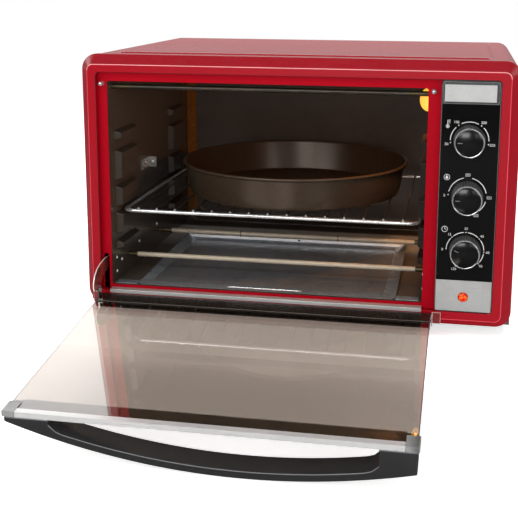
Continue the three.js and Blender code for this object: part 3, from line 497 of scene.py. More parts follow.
class Palette:
    """Every finish of the oven, built on first use."""

    red = Paint("red_paint", "red_paint", (145, 4, 22), 0.26, 0.18, (141, 3, 20), 0.16)
    recess = Paint("red_recess_paint", "red_paint", (150, 3, 22), 0.45, 0.03, (146, 3, 20), 0.0)
    # Painted highlights on the front frame's rounded edges: the top ones brightest, the rest
    # fainter
    red_top_painted_highlight = Paint("red_top_edge_painted_highlight", "red_paint", (228, 150, 154), 0.3, deep=(220, 140, 145))
    red_edge_painted_highlight = Paint("red_edge_painted_highlight", "red_paint", (206, 62, 76), 0.3, deep=(198, 52, 66))
    # Painted shade on the rounded window edge at its top and left
    red_window_painted_shade = Paint("red_window_edge_painted_shade", "red_paint", (72, 4, 12), 0.4, deep=(60, 3, 9), coat=0.1)
    zinc = Metal("zinc_sheet", "zinc_sheet", (170, 174, 176), 0.42, dull=(148, 152, 156),
                 grain=0.12, cloud=30.0)
    tray = Metal("tray_sheet", "zinc_sheet", (168, 168, 172), 0.32, dull=(146, 146, 150),
                 stretch=(0.05, 1.0, 1.0), grain=0.08, metallic=0.75)
    # A lighter, bluer, less metallic copy of the tray sheet: painted sheen on the tray's border and
    # wings
    border_painted_sheen = replace(tray, name="tray_border", colour=(162, 168, 174), roughness=0.3,
                     dull=(140, 146, 152), grain=0.06, metallic=0.6)
    cavity = Metal("cavity_sheet", "cavity_sheet", (92, 81, 72), 0.24, dull=(76, 66, 58),
                   stretch=(0.2, 0.2, 1.0), grain=0.01, cloud=8.0, spread=0.03, metallic=0.35)
    shaded = replace(cavity, name="cavity_shaded", colour=(44, 37, 32), roughness=0.3,
                     dull=(36, 30, 26))
    # The cavity floor, with a pale strip of painted light on its rear part
    floor = replace(cavity, name="cavity_floor", roughness=0.34, metallic=0.15,
                    rear=(240, 236, 232))
    # A darker copy of the cavity sheet: painted shade on the deep back wall
    back = replace(cavity, name="cavity_back_painted_shade", colour=(70, 60, 52), roughness=0.26,
                   dull=(58, 49, 42), grain=0.0, spread=0.01)
    # A darker copy of the cavity sheet: painted shade on the slopes of the side wall's lands
    slope_painted_shade = replace(cavity, name="cavity_slope_painted_shade", colour=(80, 72, 65), roughness=0.22,
                    dull=(68, 60, 54), metallic=0.5)
    # A warm brown copy of the cavity sheet: painted lamp light on the bulge's left slope
    amber_painted_lamp_light = replace(cavity, name="cavity_painted_lamp_light", colour=(132, 82, 30), roughness=0.26,
                    dull=(112, 68, 24))
    brushed = Metal("brushed_steel", "brushed_steel", (200, 200, 198), 0.34,
                    dull=(186, 186, 184), stretch=(0.08, 2.4, 2.4), grain=0.08, cloud=60.0,
                    metallic=0.55)
    chrome = Metal("chrome", "chrome", (236, 236, 236), 0.14, dull=(216, 216, 216), grain=0.02,
                   cloud=60.0, spread=0.04, metallic=0.8)
    # A near-white, mostly diffuse finish: painted glints on the wall rivets and the tray's rear
    # strip
    stud_painted_glint = replace(chrome, name="painted_glint_stud", colour=(250, 250, 250), roughness=0.3,
                   dull=(240, 240, 240), grain=0.01, metallic=0.3)
    bracket = replace(chrome, name="bracket_plate", colour=(190, 190, 188), roughness=0.24,
                      dull=(150, 150, 148), grain=0.03, cloud=90.0, spread=0.05, metallic=0.7)
    # A darker copy of the chrome: painted shade on the rack's cross wires
    cross = replace(chrome, name="cross_wire_painted_shade", colour=(128, 124, 120), roughness=0.22,
                    dull=(104, 100, 96), spread=0.05, metallic=0.9)
    steel = Metal("bright_steel", "bright_steel", (206, 206, 203), 0.14, dull=(180, 180, 176),
                  grain=0.05, cloud=90.0, spread=0.05)
    # A red-tinted copy of the bright steel: painted reflection of the red frame on the hinge arm
    # and ears
    arm = replace(steel, name="arm_painted_red_reflection", colour=(196, 96, 92), roughness=0.2,
                  dull=(150, 56, 54), cloud=60.0, metallic=0.6)
    # Near-white edge finish: painted highlights on the hinge's edges
    arm_painted_highlight = Metal("arm_painted_highlight", "bright_steel", (246, 244, 240), 0.3, dull=(232, 230, 226),
                     grain=0.02, spread=0.05, metallic=0.3)
    trim = Metal("door_trim", "aluminium", (168, 168, 167), 0.42, dull=(150, 150, 149),
                 grain=0.05, metallic=0.5)
    aluminium = Metal("aluminium", "aluminium", (220, 219, 217), 0.3, dull=(206, 205, 203),
                      stretch=(0.02, 1.0, 1.0), grain=0.02, spread=0.04, metallic=0.5)
    rod = Metal("heater_rod", "heater_rod", (184, 172, 152), 0.5, dull=(168, 154, 134),
                grain=0.02, cloud=40.0, metallic=0.2)
    # A darker copy of the rod finish: painted shade on the upper rods
    rod_painted_shade = Metal("heater_rod_painted_shade", "heater_rod", (104, 98, 90), 0.42, dull=(84, 78, 70),
                    cloud=40.0)
    rod_end = Metal("heater_cold_end", "heater_rod", (126, 114, 88), 0.45, dull=(96, 86, 64),
                    cloud=60.0)
    black = Plastic("black_plastic", "black_plastic", (34, 34, 35), 0.36, worn=(70, 70, 71))
    # A light grey copy of the black plastic: painted highlight on the handle's inner edge
    black_painted_highlight = Plastic("black_plastic_painted_highlight", "black_plastic", (96, 96, 98), 0.34,
                         worn=(120, 120, 122), tooth=0.1)
    black_paint = Plastic("black_paint", "black_paint", (20, 17, 15), 0.26, 0.3, (60, 54, 48),
                          0.03)
    # Painted highlight on the bottom rail's rounded edges
    rail_painted_highlight = Plastic("rail_painted_highlight", "black_paint", (88, 82, 75), 0.3, worn=(110, 103, 95),
                        tooth=0.03)
    gloss = Plastic("gloss_black", "gloss_black", (6, 6, 6), 0.1, 0.35, (22, 22, 22), 0.0)
    cap = Plastic("knob_cap", "gloss_black", (6, 6, 6), 0.18, 0.55, (20, 20, 20), 0.0)
    skirt = Plastic("knob_skirt", "gloss_black", (76, 76, 76), 0.3, worn=(140, 140, 140),
                    tooth=0.05, metallic=0.3)
    moulding = Plastic("moulding", "moulding", (40, 41, 41), 0.24, worn=(104, 106, 106),
                       tooth=0.05, coat=0.3, metallic=0.3)
    # Light grey: the knob pointers' own colour, and painted highlights on the panel's edge strips
    # and badge outline
    pointer_and_painted_highlight = Plastic("pointer_and_painted_highlight_strip", "moulding", (112, 114, 114), 0.35, worn=(130, 132, 132),
                   tooth=0.02, metallic=0.4)
    printed = Plastic("white_print", "gloss_black", (200, 200, 198), 0.5,
                      worn=(200, 200, 198), tooth=0.0)
    rubber = Plastic("rubber", "rubber", (30, 30, 31), 0.75, worn=(52, 52, 52), tooth=0.5,
                     scale=500.0)
    ceramic = Plastic("ceramic", "ceramic", (226, 220, 206), 0.5, worn=(200, 190, 172))
    coating = Plastic("pan_coating", "pan_coating", (62, 49, 38), 0.27, worn=(112, 92, 74),
                      tooth=0.1, scale=1500.0, metallic=0.4)
    tinted = Glass("tinted_glass", "tinted_glass", (172, 160, 149), 0.0, bend=2.4)
    glass_edge = Plastic("ground_edge", "tinted_glass", (66, 62, 58), 0.4, worn=(96, 92, 86),
                         tooth=0.1)
    bulb = Glow("lit_bulb", "clear_glass", (255, 230, 190), 0.2, strength=10.0,
                light=(255, 160, 60))
    dome = Glow("lit_dome", "clear_glass", (236, 168, 80), 0.1, strength=0.95,
                light=(255, 186, 70))
    # The red lens's lighter orange cells are painted glints
    lens = Glow("red_lens", "red_lens", (196, 18, 7), 0.12, strength=0.06, light=(255, 60, 20),
                painted_glint=(250, 112, 30))
    built: dict[str, bpy.types.Material] = {}

    @classmethod
    def get(cls, finish: Finish) -> bpy.types.Material:
        """The finish's material, made once."""
        if finish.name not in cls.built:
            cls.built[finish.name] = finish.build()
        return cls.built[finish.name]


# Outlines


def lifted(points: Sequence[Flat], axis: Axis, at: float) -> list[Point]:
    """Lifts flat points to the plane across an axis.

    Args:
        points: (y, z) for X, (x, z) for Y and (x, y) for Z.
        axis: the axis.
        at: the plane's place along it.

    Returns:
        The points in space.
    """
    if axis is Axis.X:
        return [(at, a, b) for a, b in points]
    if axis is Axis.Y:
        return [(a, at, b) for a, b in points]
    return [(a, b, at) for a, b in points]


def rect(left: float, low: float, right: float, high: float) -> list[Flat]:
    """The corners of a rectangle, anticlockwise."""
    return [(left, low), (right, low), (right, high), (left, high)]


def arc(centre: Flat, radius: float | Flat, first: float, last: float, steps: int) -> list[Flat]:
    """Points along an arc.

    Args:
        centre: its centre.
        radius: its radius, or the two half-axes of an oval.
        first: the first angle in degrees.
        last: the last angle.
        steps: how many steps it has.

    Returns:
        The points, one more than the steps.
    """
    wide, high = radius if isinstance(radius, tuple) else (radius, radius)
    angles = [math.radians(first + (last - first) * i / steps) for i in range(steps + 1)]
    return [(centre[0] + wide * math.cos(a), centre[1] + high * math.sin(a)) for a in angles]


def rounded(half: Flat, radius: float, steps: int, centre: Flat) -> list[Flat]:
    """Points round a rectangle with round corners, anticlockwise from the right.

    Args:
        half: half its width and height.
        radius: radius of its corners.
        steps: steps in each corner.
        centre: its centre.

    Returns:
        The points.
    """
    points = []
    for k, (sx, sy) in enumerate(((1, 1), (-1, 1), (-1, -1), (1, -1))):
        corner = (centre[0] + sx * (half[0] - radius), centre[1] + sy * (half[1] - radius))
        points += arc(corner, radius, 90 * k, 90 * (k + 1), steps)
    return points


def ease(t: float) -> float:
    """A soft step from 0 to 1."""
    t = min(max(t, 0.0), 1.0)
    return t * t * (3 - 2 * t)


def place(body: Body) -> Matrix:
    """The transform from drawing millimetres to the row frame in metres.

    Args:
        body: the body. The door is drawn shut and laid open about its pivot.

    Returns:
        The matrix.
    """
    to_frame = Matrix.Translation((0.0, -HALF_DEPTH, 0.0))
    if body is Body.DOOR:
        to_frame = to_frame @ Matrix.Translation(PIVOT) @ Matrix.Rotation(OPEN_ANGLE, 4, "X")
    return Matrix.Scale(MM, 4) @ to_frame


class Form:
    """A bmesh in drawing millimetres. The methods that shape it return the form itself."""

    def __init__(self) -> None:
        """Starts an empty form."""
        self.mesh = bmesh.new()

    @classmethod
    def from_curve(cls, curve: bpy.types.Curve) -> Form:
        """Makes a form of a flat curve or a text, and removes the curve.

        Args:
            curve: the curve.

        Returns:
            The form, in the curve's own plane.
        """
        carrier = bpy.data.objects.new(curve.name, curve)
        bpy.context.scene.collection.objects.link(carrier)
        bpy.context.view_layer.update()
        graph = bpy.context.evaluated_depsgraph_get()
        mesh = bpy.data.meshes.new_from_object(carrier.evaluated_get(graph))
        form = cls()
        form.mesh.from_mesh(mesh)
        bpy.data.objects.remove(carrier)
        bpy.data.curves.remove(curve)
        bpy.data.meshes.remove(mesh)
        return form

    @classmethod
    def plate(cls, outlines: Sequence[Sequence[Flat]], axis: Axis, low: float, high: float,
              edge: float = 0.2) -> Form:
        """A plate with holes and softly rounded edges, cut from flat outlines.

        Args:
            outlines: the outer outline, then the holes.
            axis: the axis of its thickness.
            low: where it starts along the axis.
            high: where it ends.
            edge: the rounding of its edges.

        Returns:
            The form.
        """
        curve = bpy.data.curves.new("flat_cut", "CURVE")
        curve.dimensions, curve.fill_mode = "2D", "BOTH"
        curve.extrude = (high - low) / 2 - edge
        curve.bevel_depth, curve.bevel_resolution, curve.offset = edge, 1, -edge
        for points in outlines:
            spline = curve.splines.new("POLY")
            spline.points.add(len(points) - 1)
            for target, (a, b) in zip(spline.points, points):
                target.co = (a, b, 0.0, 1.0)
            spline.use_cyclic_u = True
        middle = (low + high) / 2
        turn = Matrix(((0, 0, 1, middle), (1, 0, 0, 0), (0, 1, 0, 0), (0, 0, 0, 1)))
        if axis is Axis.Y:
            turn = Matrix(((1, 0, 0, 0), (0, 0, -1, middle), (0, 1, 0, 0), (0, 0, 0, 1)))
        return cls.from_curve(curve).moved(turn)

    @classmethod
    def numeral(cls, words: str, height: float) -> Form:
        """Numerals with a little thickness, centred on the origin in the XY plane.

        Args:
            words: the numerals.
            height: their height.

        Returns:
            The form.
        """
        curve = bpy.data.curves.new("numeral", "FONT")
        curve.body = words
        curve.size = height / NUMERAL_SHARE
        curve.align_x = curve.align_y = "CENTER"
        curve.extrude, curve.resolution_u = NUMERAL_HALF, 3
        return cls.from_curve(curve)

    def moved(self, matrix: Matrix) -> Form:
        """Moves the whole form by a matrix."""
        bmesh.ops.transform(self.mesh, matrix=matrix, verts=self.mesh.verts)
        return self

    def join(self, other: Form) -> Form:
        """Takes in another form.

        Args:
            other: the form, which is freed here.

        Returns:
            This form.
        """
        carrier = bpy.data.meshes.new("joined")
        other.mesh.to_mesh(carrier)
        other.mesh.free()
        self.mesh.from_mesh(carrier)
        bpy.data.meshes.remove(carrier)
        return self

    def face(self, points: Sequence[Point]) -> Face:
        """One face through points."""
        return self.mesh.faces.new([self.mesh.verts.new(p) for p in points])

    def lift(self, faces: Sequence[Face], by: Vector) -> Form:
        """Extrudes faces by a vector into a solid.

        Args:
            faces: the faces, which stay as one side.
            by: the way and the distance.

        Returns:
            The form.
        """
        made = bmesh.ops.extrude_face_region(self.mesh, geom=faces, use_keep_orig=True)["geom"]
        verts = [v for v in made if isinstance(v, bmesh.types.BMVert)]
        bmesh.ops.translate(self.mesh, verts=verts, vec=by)
        return self

    def bar(self, points: Sequence[Flat], axis: Axis, low: float, high: float) -> Form:
        """Adds a solid with a flat outline, from low to high along an axis."""
        face = self.face(lifted(points, axis, low))
        return self.lift([face], Vector(axis.value) * (high - low))

    def block(self, low: Point, high: Point) -> Form:
        """Adds a box between two corners.

        Args:
            low: the corner of the lowest values.
            high: the corner of the highest.

        Returns:
            The form.
        """
        size = Vector(high) - Vector(low)
        matrix = Matrix.Translation((Vector(low) + Vector(high)) / 2)
        bmesh.ops.create_cube(self.mesh, size=1.0, matrix=matrix @ Matrix.Diagonal((*size, 1.0)))
        return self

    def skin(self, rows: Sequence[Sequence[Point]], *, looped: bool = True,
             caps: bool = False) -> Form:
        """Adds a skin by extruding a row of edges from station to station.

        Args:
            rows: stations with equal numbers of points.
            looped: each row closes on itself.
            caps: fill the first and last rows.

        Returns:
            The form.
        """
        form, count = self.mesh, len(rows[0])
        pairs = range(count if looped else count - 1)
        verts = first = [form.verts.new(p) for p in rows[0]]
        edges = [form.edges.new((verts[i], verts[(i + 1) % count])) for i in pairs]
        for row in rows[1:]:
            made = bmesh.ops.extrude_edge_only(form, edges=edges)["geom"]
            fresh = {v for v in made if isinstance(v, bmesh.types.BMVert)}
            verts = [next(e.other_vert(v) for e in v.link_edges if e.other_vert(v) in fresh)
                     for v in verts]
            for vert, target in zip(verts, row):
                vert.co = target
            edges = [form.edges.get((verts[i], verts[(i + 1) % count])) for i in pairs]
        for end in (first, verts) if caps else ():
            bmesh.ops.contextual_create(form, geom=[
                form.edges.get((end[i], end[(i + 1) % count])) for i in range(count)])
        return self

    def turned(self, profile: Sequence[Flat], axis: Axis, centre: Point,
               steps: int = 48) -> Form:
        """Adds a turned form.

        Args:
            profile: points of (radius, place along the axis).
            axis: the axis of turning.
            centre: a point on the axis.
            steps: faces round the form.

        Returns:
            The form.
        """
        form, along, origin = self.mesh, Vector(axis.value), Vector(centre)
        side = Vector(Axis.X.value if axis is Axis.Z else Axis.Z.value)
        verts = [form.verts.new(origin + side * r + along * h) for r, h in profile]
        edges = [form.edges.new(pair) for pair in zip(verts, verts[1:])]
        bmesh.ops.spin(form, geom=verts + edges, cent=origin, axis=along, dvec=(0.0, 0.0, 0.0),
                       angle=math.tau, steps=steps, use_merge=True, use_normal_flip=False,
                       use_duplicate=False)
        bmesh.ops.remove_doubles(form, verts=form.verts, dist=WELD)
        return self

    def wire(self, path: Sequence[Point], radius: float, *, looped: bool = False,
             sides: int = 16) -> Form:
        """Adds a round wire along points.

        Args:
            path: the middle of the wire.
            radius: its radius.
            looped: the wire closes on itself.
            sides: faces round it.

        Returns:
            The form.
        """
        points = [Vector(p) for p in path]
        count = len(points)
        rows = []
        for k, point in enumerate(points):
            before = points[(k - 1) % count if looped else max(k - 1, 0)]
            after = points[(k + 1) % count if looped else min(k + 1, count - 1)]
            along = (after - before).normalized()
            up = Axis.Y if abs(along.z) > 0.95 else Axis.Z
            across = along.cross(Vector(up.value)).normalized()
            top = across.cross(along).normalized()
            rows.append([tuple(point + across * a + top * b)
                         for a, b in arc((0.0, 0.0), radius, 0, 360, sides)[:-1]])
        return self.skin(rows + rows[:1] if looped else rows, caps=not looped)

    def fill(self, inside: Callable[[Vector], bool]) -> Form:
        """Closes the open edges whose ends both pass a test with one face."""
        bmesh.ops.contextual_create(self.mesh, geom=[
            e for e in self.mesh.edges if e.is_boundary and all(inside(v.co) for v in e.verts)])
        return self

    def facing(self, way: Point) -> Form:
        """Turns a sheet so that the face furthest along a way looks along it.

        Args:
            way: the way.

        Returns:
            The form.
        """
        bmesh.ops.recalc_face_normals(self.mesh, faces=self.mesh.faces)
        way = Vector(way)
        furthest = max(self.mesh.faces, key=lambda f: f.calc_center_median().dot(way))
        if furthest.normal.dot(way) < 0:
            bmesh.ops.reverse_faces(self.mesh, faces=self.mesh.faces)
        return self

    def mark(self, accent: Callable[[Face], int], faces: Sequence[Face] | None = None) -> Form:
        """Gives faces the index of their accent.

        Args:
            accent: the index for a face, 0 for the piece's own finish.
            faces: the faces, all if none are given.

        Returns:
            The form.
        """
        for face in self.mesh.faces if faces is None else faces:
            face.material_index = accent(face)
        return self

    def soften(self, width: float, segments: int = 2, angle: float = 30.0,
               accent: Callable[[Face], int] | None = None) -> Form:
        """Rounds every edge that turns by more than an angle.

        Args:
            width: bevel width.
            segments: segments of each bevel.
            angle: the least turn in degrees.
            accent: the index of the accent for each face of the rounded edges.

        Returns:
            The form.
        """
        form = self.mesh
        bmesh.ops.remove_doubles(form, verts=form.verts, dist=WELD)
        bmesh.ops.recalc_face_normals(form, faces=form.faces)
        edges = [e for e in form.edges
                 if len(e.link_faces) == 2 and e.calc_face_angle(0.0) > math.radians(angle)]
        made = bmesh.ops.bevel(form, geom=edges, offset=width, offset_type="OFFSET",
                               segments=segments, profile=0.5, affect="EDGES",
                               clamp_overlap=True, material=-1)["faces"]
        return self.mark(accent, made) if accent else self

    def settled(self, name: str, body: Body) -> bpy.types.Object:
        """Puts the form in its place in the frame as an object.

        Args:
            name: the object's name.
            body: the body in whose drawing the form stands.

        Returns:
            The object. The form is freed.
        """
        self.moved(place(body))
        mesh = bpy.data.meshes.new(name)
        self.mesh.to_mesh(mesh)
        self.mesh.free()
        item = bpy.data.objects.new(name, mesh)
        bpy.context.scene.collection.objects.link(item)
        return item

    def piece(self, name: str, finish: Finish, *nodes: str, body: Body = Body.HOUSING,
              wall: float = 0.0, accents: Sequence[Finish] = ()) -> bpy.types.Object:
        """Turns the form into a finished piece of the oven.

        Args:
            name: the piece's name.
            finish: the finish.
            nodes: CAD nodes that the piece stands for.
            body: the body that carries it.
            wall: thickness given to a thin sheet, inwards. A sheet keeps its normals.
            accents: finishes of the faces that carry the index 1 and on.

        Returns:
            The object.
        """
        bmesh.ops.remove_doubles(self.mesh, verts=self.mesh.verts, dist=WELD)
        if not wall:
            bmesh.ops.recalc_face_normals(self.mesh, faces=self.mesh.faces)
        item = self.settled(name, body)
        mesh = item.data
        mesh.polygons.foreach_set("use_smooth", [True] * len(mesh.polygons))
        mesh.set_sharp_from_angle(angle=SMOOTH_ANGLE)
        for used in (finish, *accents):
            mesh.materials.append(Palette.get(used))
        if wall:
            thick = item.modifiers.new("sheet", "SOLIDIFY")
            thick.thickness = wall * MM
            thick.offset = -1.0
        item.modifiers.new("flat_faces", "WEIGHTED_NORMAL").keep_sharp = True
        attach(item, body.value)
        if nodes:
            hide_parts(*nodes)
        LOG.info("%s on %s", name, body.value)
        return item


def dress(node: str, finish: Finish) -> None:
    """Gives a CAD node that is kept as it is its finish.

    Args:
        node: the node's name.
        finish: the finish.
    """
    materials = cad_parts[node].data.materials
    materials.clear()
    materials.append(Palette.get(finish))
    LOG.info("%s dressed", node)


# Housing


@dataclass
class Housing:
    """Front frame, casing, back, base and feet."""

    half_width: float = 275.0
    height: float = 330.0
    depth: float = 410.0
    corner: float = 20.0
    bevel: Point = (13.0, 12.0, 18.0)
    rim: float = 26.0
    window: Flat = (24.0, 22.0)
    window_corner: float = 5.0
    lip: float = 8.7
    sheet: float = 1.2
    casing_front: float = 26.3
    emboss_half: float = 241.0
    emboss: Flat = (55.0, 374.0)
    emboss_rise: float = 1.4
    groove: float = 1.1
    vent_z: Flat = (60.0, 100.0)
    vents: tuple[Flat, ...] = tuple((90.0 + 12.0 * i, 94.0 + 12.0 * i) for i in range(9))
    screws: tuple[Flat, ...] = ((-262.0, 14.0), (-262.0, 165.0), (-262.0, 316.0), (0.0, 14.0),
                                (0.0, 316.0), (262.0, 14.0), (262.0, 165.0), (262.0, 316.0))
    feet: tuple[tuple[str, float, float], ...] = (
        ("foot_front_left", -215, 80), ("foot_front_right", 215, 80),
        ("foot_back_left", -215, 360), ("foot_back_right", 215, 360))

    def front_frame(self) -> None:
        """The bevelled front ring, with its lip turned back round the window."""
        middle, t = self.height / 2, self.sheet
        side, edge = self.window
        across, up, deep = self.bevel

        def accent(face: Face) -> int:
            """Painted highlight at the rim's top, a fainter painted highlight on the rest of it,
            painted shade at the window's top and left.

            Args:
                face: a face of a rounded edge.

            Returns:
                The index of its accent.
            """
            c = face.calc_center_median()
            top, left = c.z > 300.0, c.x < -240.0
            at_window = (abs(c.x) < self.half_width - side + 1.5
                         and edge - 1.5 < c.z < self.height - edge + 1.5)
            if at_window and c.y < 2.0:
                return 3 if top or left else 0
            return 0 if c.y >= 1.5 else 1 if top else 2

        rows = [lifted(rounded((self.half_width - in_x, middle - in_z), radius, 10,
                               (0.0, middle)), Axis.Y, y)
                for in_x, in_z, radius, y in (
                    (side, edge, self.window_corner, self.lip),
                    (side, edge, self.window_corner, 0.0),
                    (across, up, 8.0, 0.0),
                    (0.0, 0.0, self.corner, deep),
                    (0.0, 0.0, self.corner, self.rim),
                    (t, t, self.corner - t, self.rim),
                    (t, t, self.corner - t, deep + 0.6),
                    (across + 0.6, up + 0.6, 7.4, t),
                    (side - t, edge - t, self.window_corner, t),
                    (side - t, edge - t, self.window_corner, self.lip))]
        form = Form().skin([*rows, rows[0]]).soften(0.9, 4, 24.0, accent)
        form.piece("front_frame_shell", Palette.red, "front_frame",
                   accents=[Palette.red_top_painted_highlight, Palette.red_edge_painted_highlight, Palette.red_window_painted_shade])

    def roof_rise(self, x: float, y: float) -> float:
        """Height of the pressed roof panel, less its groove, above the roof.

        Args:
            x: a point's place across the oven.
            y: its place from front to back.

        Returns:
            The height.
        """
        front, back = self.emboss
        radius = 9.0
        dx = abs(x) - (self.emboss_half - radius)
        dy = abs(y - (front + back) / 2) - ((back - front) / 2 - radius)
        outside = math.hypot(max(dx, 0.0), max(dy, 0.0)) + min(max(dx, dy), 0.0)
        groove = max(0.0, 1.0 - abs(outside - radius - 0.5) / 1.6)
        return self.emboss_rise * ease((radius - outside) / 4.0) - self.groove * groove

    def casing(self) -> None:
        """Roof and two sides in one sheet, with side vents cut on the right."""
        half, top, radius = self.half_width - 1.0, self.height - 1.0, self.corner - 1.0
        side_z = (0.3, *self.vent_z, 180.0, 260.0)
        near = (226.0, 231.0, 235.0, 237.0, 238.0, 239.0, 240.0, 241.0, 243.0)
        roof = [*(-x for x in near[::-1]), -180.0, -120.0, -60.0, 0.0, 60.0, 120.0, 180.0, *near]
        profile = [(-half, z) for z in side_z]
        profile += arc((-(half - radius), top - radius), radius, 180, 90, 10)
        profile += [(x, top) for x in roof]
        profile += arc((half - radius, top - radius), radius, 90, 0, 10)
        profile += [(half, z) for z in side_z[::-1]]
        stations = {self.casing_front, 30.0, 40.0, 204.0, 290.0, 340.0, 380.0, 395.0, 406.0,
                    self.depth, *(edge for pair in self.vents for edge in pair)}
        for d in (-2, 0, 1, 2, 3, 4, 6, 10, 15):
            stations |= {self.emboss[0] + d, self.emboss[1] - d}
        form = Form().skin([[(x, y, z + (self.roof_rise(x, y) if z == top else 0.0))
                             for x, z in profile] for y in sorted(stations)], looped=False)

        def open_vent(c: Vector) -> bool:
            """Whether a face's middle lies in a vent."""
            return (c.x > half - 0.1 and self.vent_z[0] < c.z < self.vent_z[1]
                    and any(a < c.y < b for a, b in self.vents))

        holes = [f for f in form.mesh.faces if open_vent(f.calc_center_median())]
        bmesh.ops.delete(form.mesh, geom=holes, context="FACES")
        form.facing(Axis.Z.value).piece("casing_sheet", Palette.red, "outer_casing", wall=1.0)

    def build(self) -> None:
        """Builds the housing."""
        self.front_frame()
        self.casing()
        form = Form()
        for x, z in self.screws:
            form.turned([(0.0, 1.2), (1.6, 1.2), (3.4, 0.9), (4.0, 0.2), (4.0, 0.02),
                         (0.0, 0.02)], Axis.Y, (x, self.depth - 1.5, z), 20)
        form.piece("back_screws", Palette.steel)
        for name, x, y in self.feet:
            Form().turned([
                (0.0, -12.0), (4.0, -12.0), (4.3, -14.6), (5.0, -15.0), (12.4, -15.0),
                (13.3, -14.6), (14.9, -5.0), (15.0, -0.6), (14.4, 0.6), (0.0, 0.68),
            ], Axis.Z, (x, y, 0.0), 40).piece(f"{name}_rubber", Palette.rubber, name)
        dress("rear_panel", Palette.zinc)
        dress("base_panel", Palette.zinc)


# Opening and cavity


@dataclass
class Cavity:
    """Recessed surround, cavity walls, threshold, rods, lamp and small fittings."""

    left: float = -239.0
    right: float = 165.5
    low: float = 28.5
    high: float = 296.5
    front: float = 10.8
    back: float = 377.7
    proud: float = 8.0
    sheet: float = 1.2
    rod_radius: float = 3.25
    clips: Flat = (-112.0, 34.0)
    lamp_at: Point = (0.0, 72.0, 276.0)
    columns: tuple[Flat, ...] = ((33.0, 104.0), (272.0, 340.0))
    rows: tuple[Flat, ...] = ((71.0, 80.0), (92.0, 118.5), (129.0, 154.0), (165.0, 202.0),
                              (218.0, 228.0))
    rods: tuple[tuple[str, float, float, float], ...] = (
        ("heater_lower_front", 80.0, 51.0, 12.0), ("heater_lower_rear", 218.0, 51.0, 20.0),
        ("heater_upper_front", 27.0, 288.0, 25.0), ("heater_upper_rear", 218.0, 288.0, 25.0))
    back_section: tuple[Point, ...] = (
        (0.0, 0.6, 0.0), (1.8, 19.0, 0.0), (2.6, 20.0, 0.4), (4.0, 20.0, 1.6), (8.0, 21.0, 5.6),
        (12.0, 21.0, 9.6), (14.0, 20.0, 11.4), (15.6, 19.0, 12.0), (40.0, 16.0, 12.0))

    def surround(self) -> None:
        """The recessed red plate with the opening and the hinge arm's slot, and the shelf."""
        opening = rounded(((self.right - self.left) / 2, (self.high - self.low) / 2), 3.0, 6,
                          ((self.left + self.right) / 2, (self.low + self.high) / 2))
        slot = [(-249.5, 22.3), (-242.4, 22.3), *arc((-245.95, 66.45), 3.55, 0, 180, 10)]
        outlines = [rect(-262.0, 12.0, 186.0, 318.0), opening, slot]
        form = Form.plate(outlines, Axis.Y, 9.0, 10.5, 0.35)
        form.piece("surround_plate", Palette.recess, "door_surround")
        section = [(-0.55, 19.5), (-0.1, 19.5), (-0.1, 23.2), (8.6, 23.9), (8.6, 25.0),
                   (0.4, 24.4), (-0.3, 24.2), (-0.55, 23.8)]
        form = Form().bar(section, Axis.X, self.left, self.right).soften(0.12, 2, 50.0)
        form.piece("threshold_shelf", Palette.brushed, "threshold_strip")

    def wall(self, name: str, face: float, inward: float) -> None:
        """A side wall with rounded shelf lands.

        Args:
            name: the CAD node.
            face: x of the wall's inner face.
            inward: +1 or -1, towards the cavity.
        """
        def steps(pairs: Sequence[Flat], first: float, last: float) -> list[float]:
            """The stations across a row of lands."""
            near = (-3.0, -1.8, -0.9, 0.0, 0.9, 1.8, 3.0)
            return sorted({first, last, *(end + d for pair in pairs for end in pair
                                          for d in near)})

        def rise(pairs: Sequence[Flat], value: float) -> float:
            """How much of the land's height is reached at a station."""
            return max(ease((min(value - a, b - value) + 1.9) / 3.8) for a, b in pairs)

        zs = steps(self.rows, self.low + CLEAR, self.high)
        # Painted shade: the left wall's land slopes take a darker finish, the right wall the shaded
        # finish all over
        base, accent = ((Palette.cavity, Palette.slope_painted_shade) if inward > 0
                        else (Palette.shaded, Palette.shaded))
        stations = [[(face + inward * self.proud * rise(self.columns, y) * rise(self.rows, z),
                      y, z) for z in zs] for y in steps(self.columns, self.front, self.back)]
        form = Form().skin(stations, looped=False).facing((inward, 0.0, 0.0))
        # Faces that slope away from the wall's plane take the painted shade
        form.mark(lambda side: int(abs(side.normal.x) < 0.96))
        form.piece(f"{name}_sheet", base, name, wall=self.sheet, accents=[accent])

    def back_wall(self) -> None:
        """The bulged back with soft slopes."""
        cx, cz = (self.left + self.right) / 2, (self.low + self.high + 0.3) / 2
        half = ((self.right - self.left) / 2 + 1.2, (self.high - self.low + 2.7) / 2)
        flat = self.back_section[-1][0] - 0.1
        rings = [lifted(rounded((half[0] - inset, half[1] - inset), radius, 8, (cx, cz)),
                        Axis.Y, 378.0 + depth) for inset, radius, depth in self.back_section]
        form = Form().skin(rings)
        form.fill(lambda co: abs(co.x - cx) <= half[0] - flat and abs(co.z - cz) <= half[1] - flat)
        form.facing((0.0, -1.0, 0.0))
        # Painted lamp light: faces of the bulge's left slope that look right take the warm finish
        form.mark(lambda side: int(side.normal.x > 0.5 and side.calc_center_median().x < cx))
        # The back wall's finish is painted shade
        form.piece("cavity_back_sheet", Palette.back, "cavity_rear", wall=self.sheet,
                   accents=[Palette.amber_painted_lamp_light])

    def heaters(self) -> None:
        """Heating rods with darker cold ends, insulators and terminals."""
        for name, y, z, cold in self.rods:
            low, high = self.left + cold + 0.2, self.right - cold - 0.2
            section = [(0.0, low), (self.rod_radius, low), (self.rod_radius, high), (0.0, high)]
            form = Form().turned(section, Axis.X, (0.0, y, z), 24)
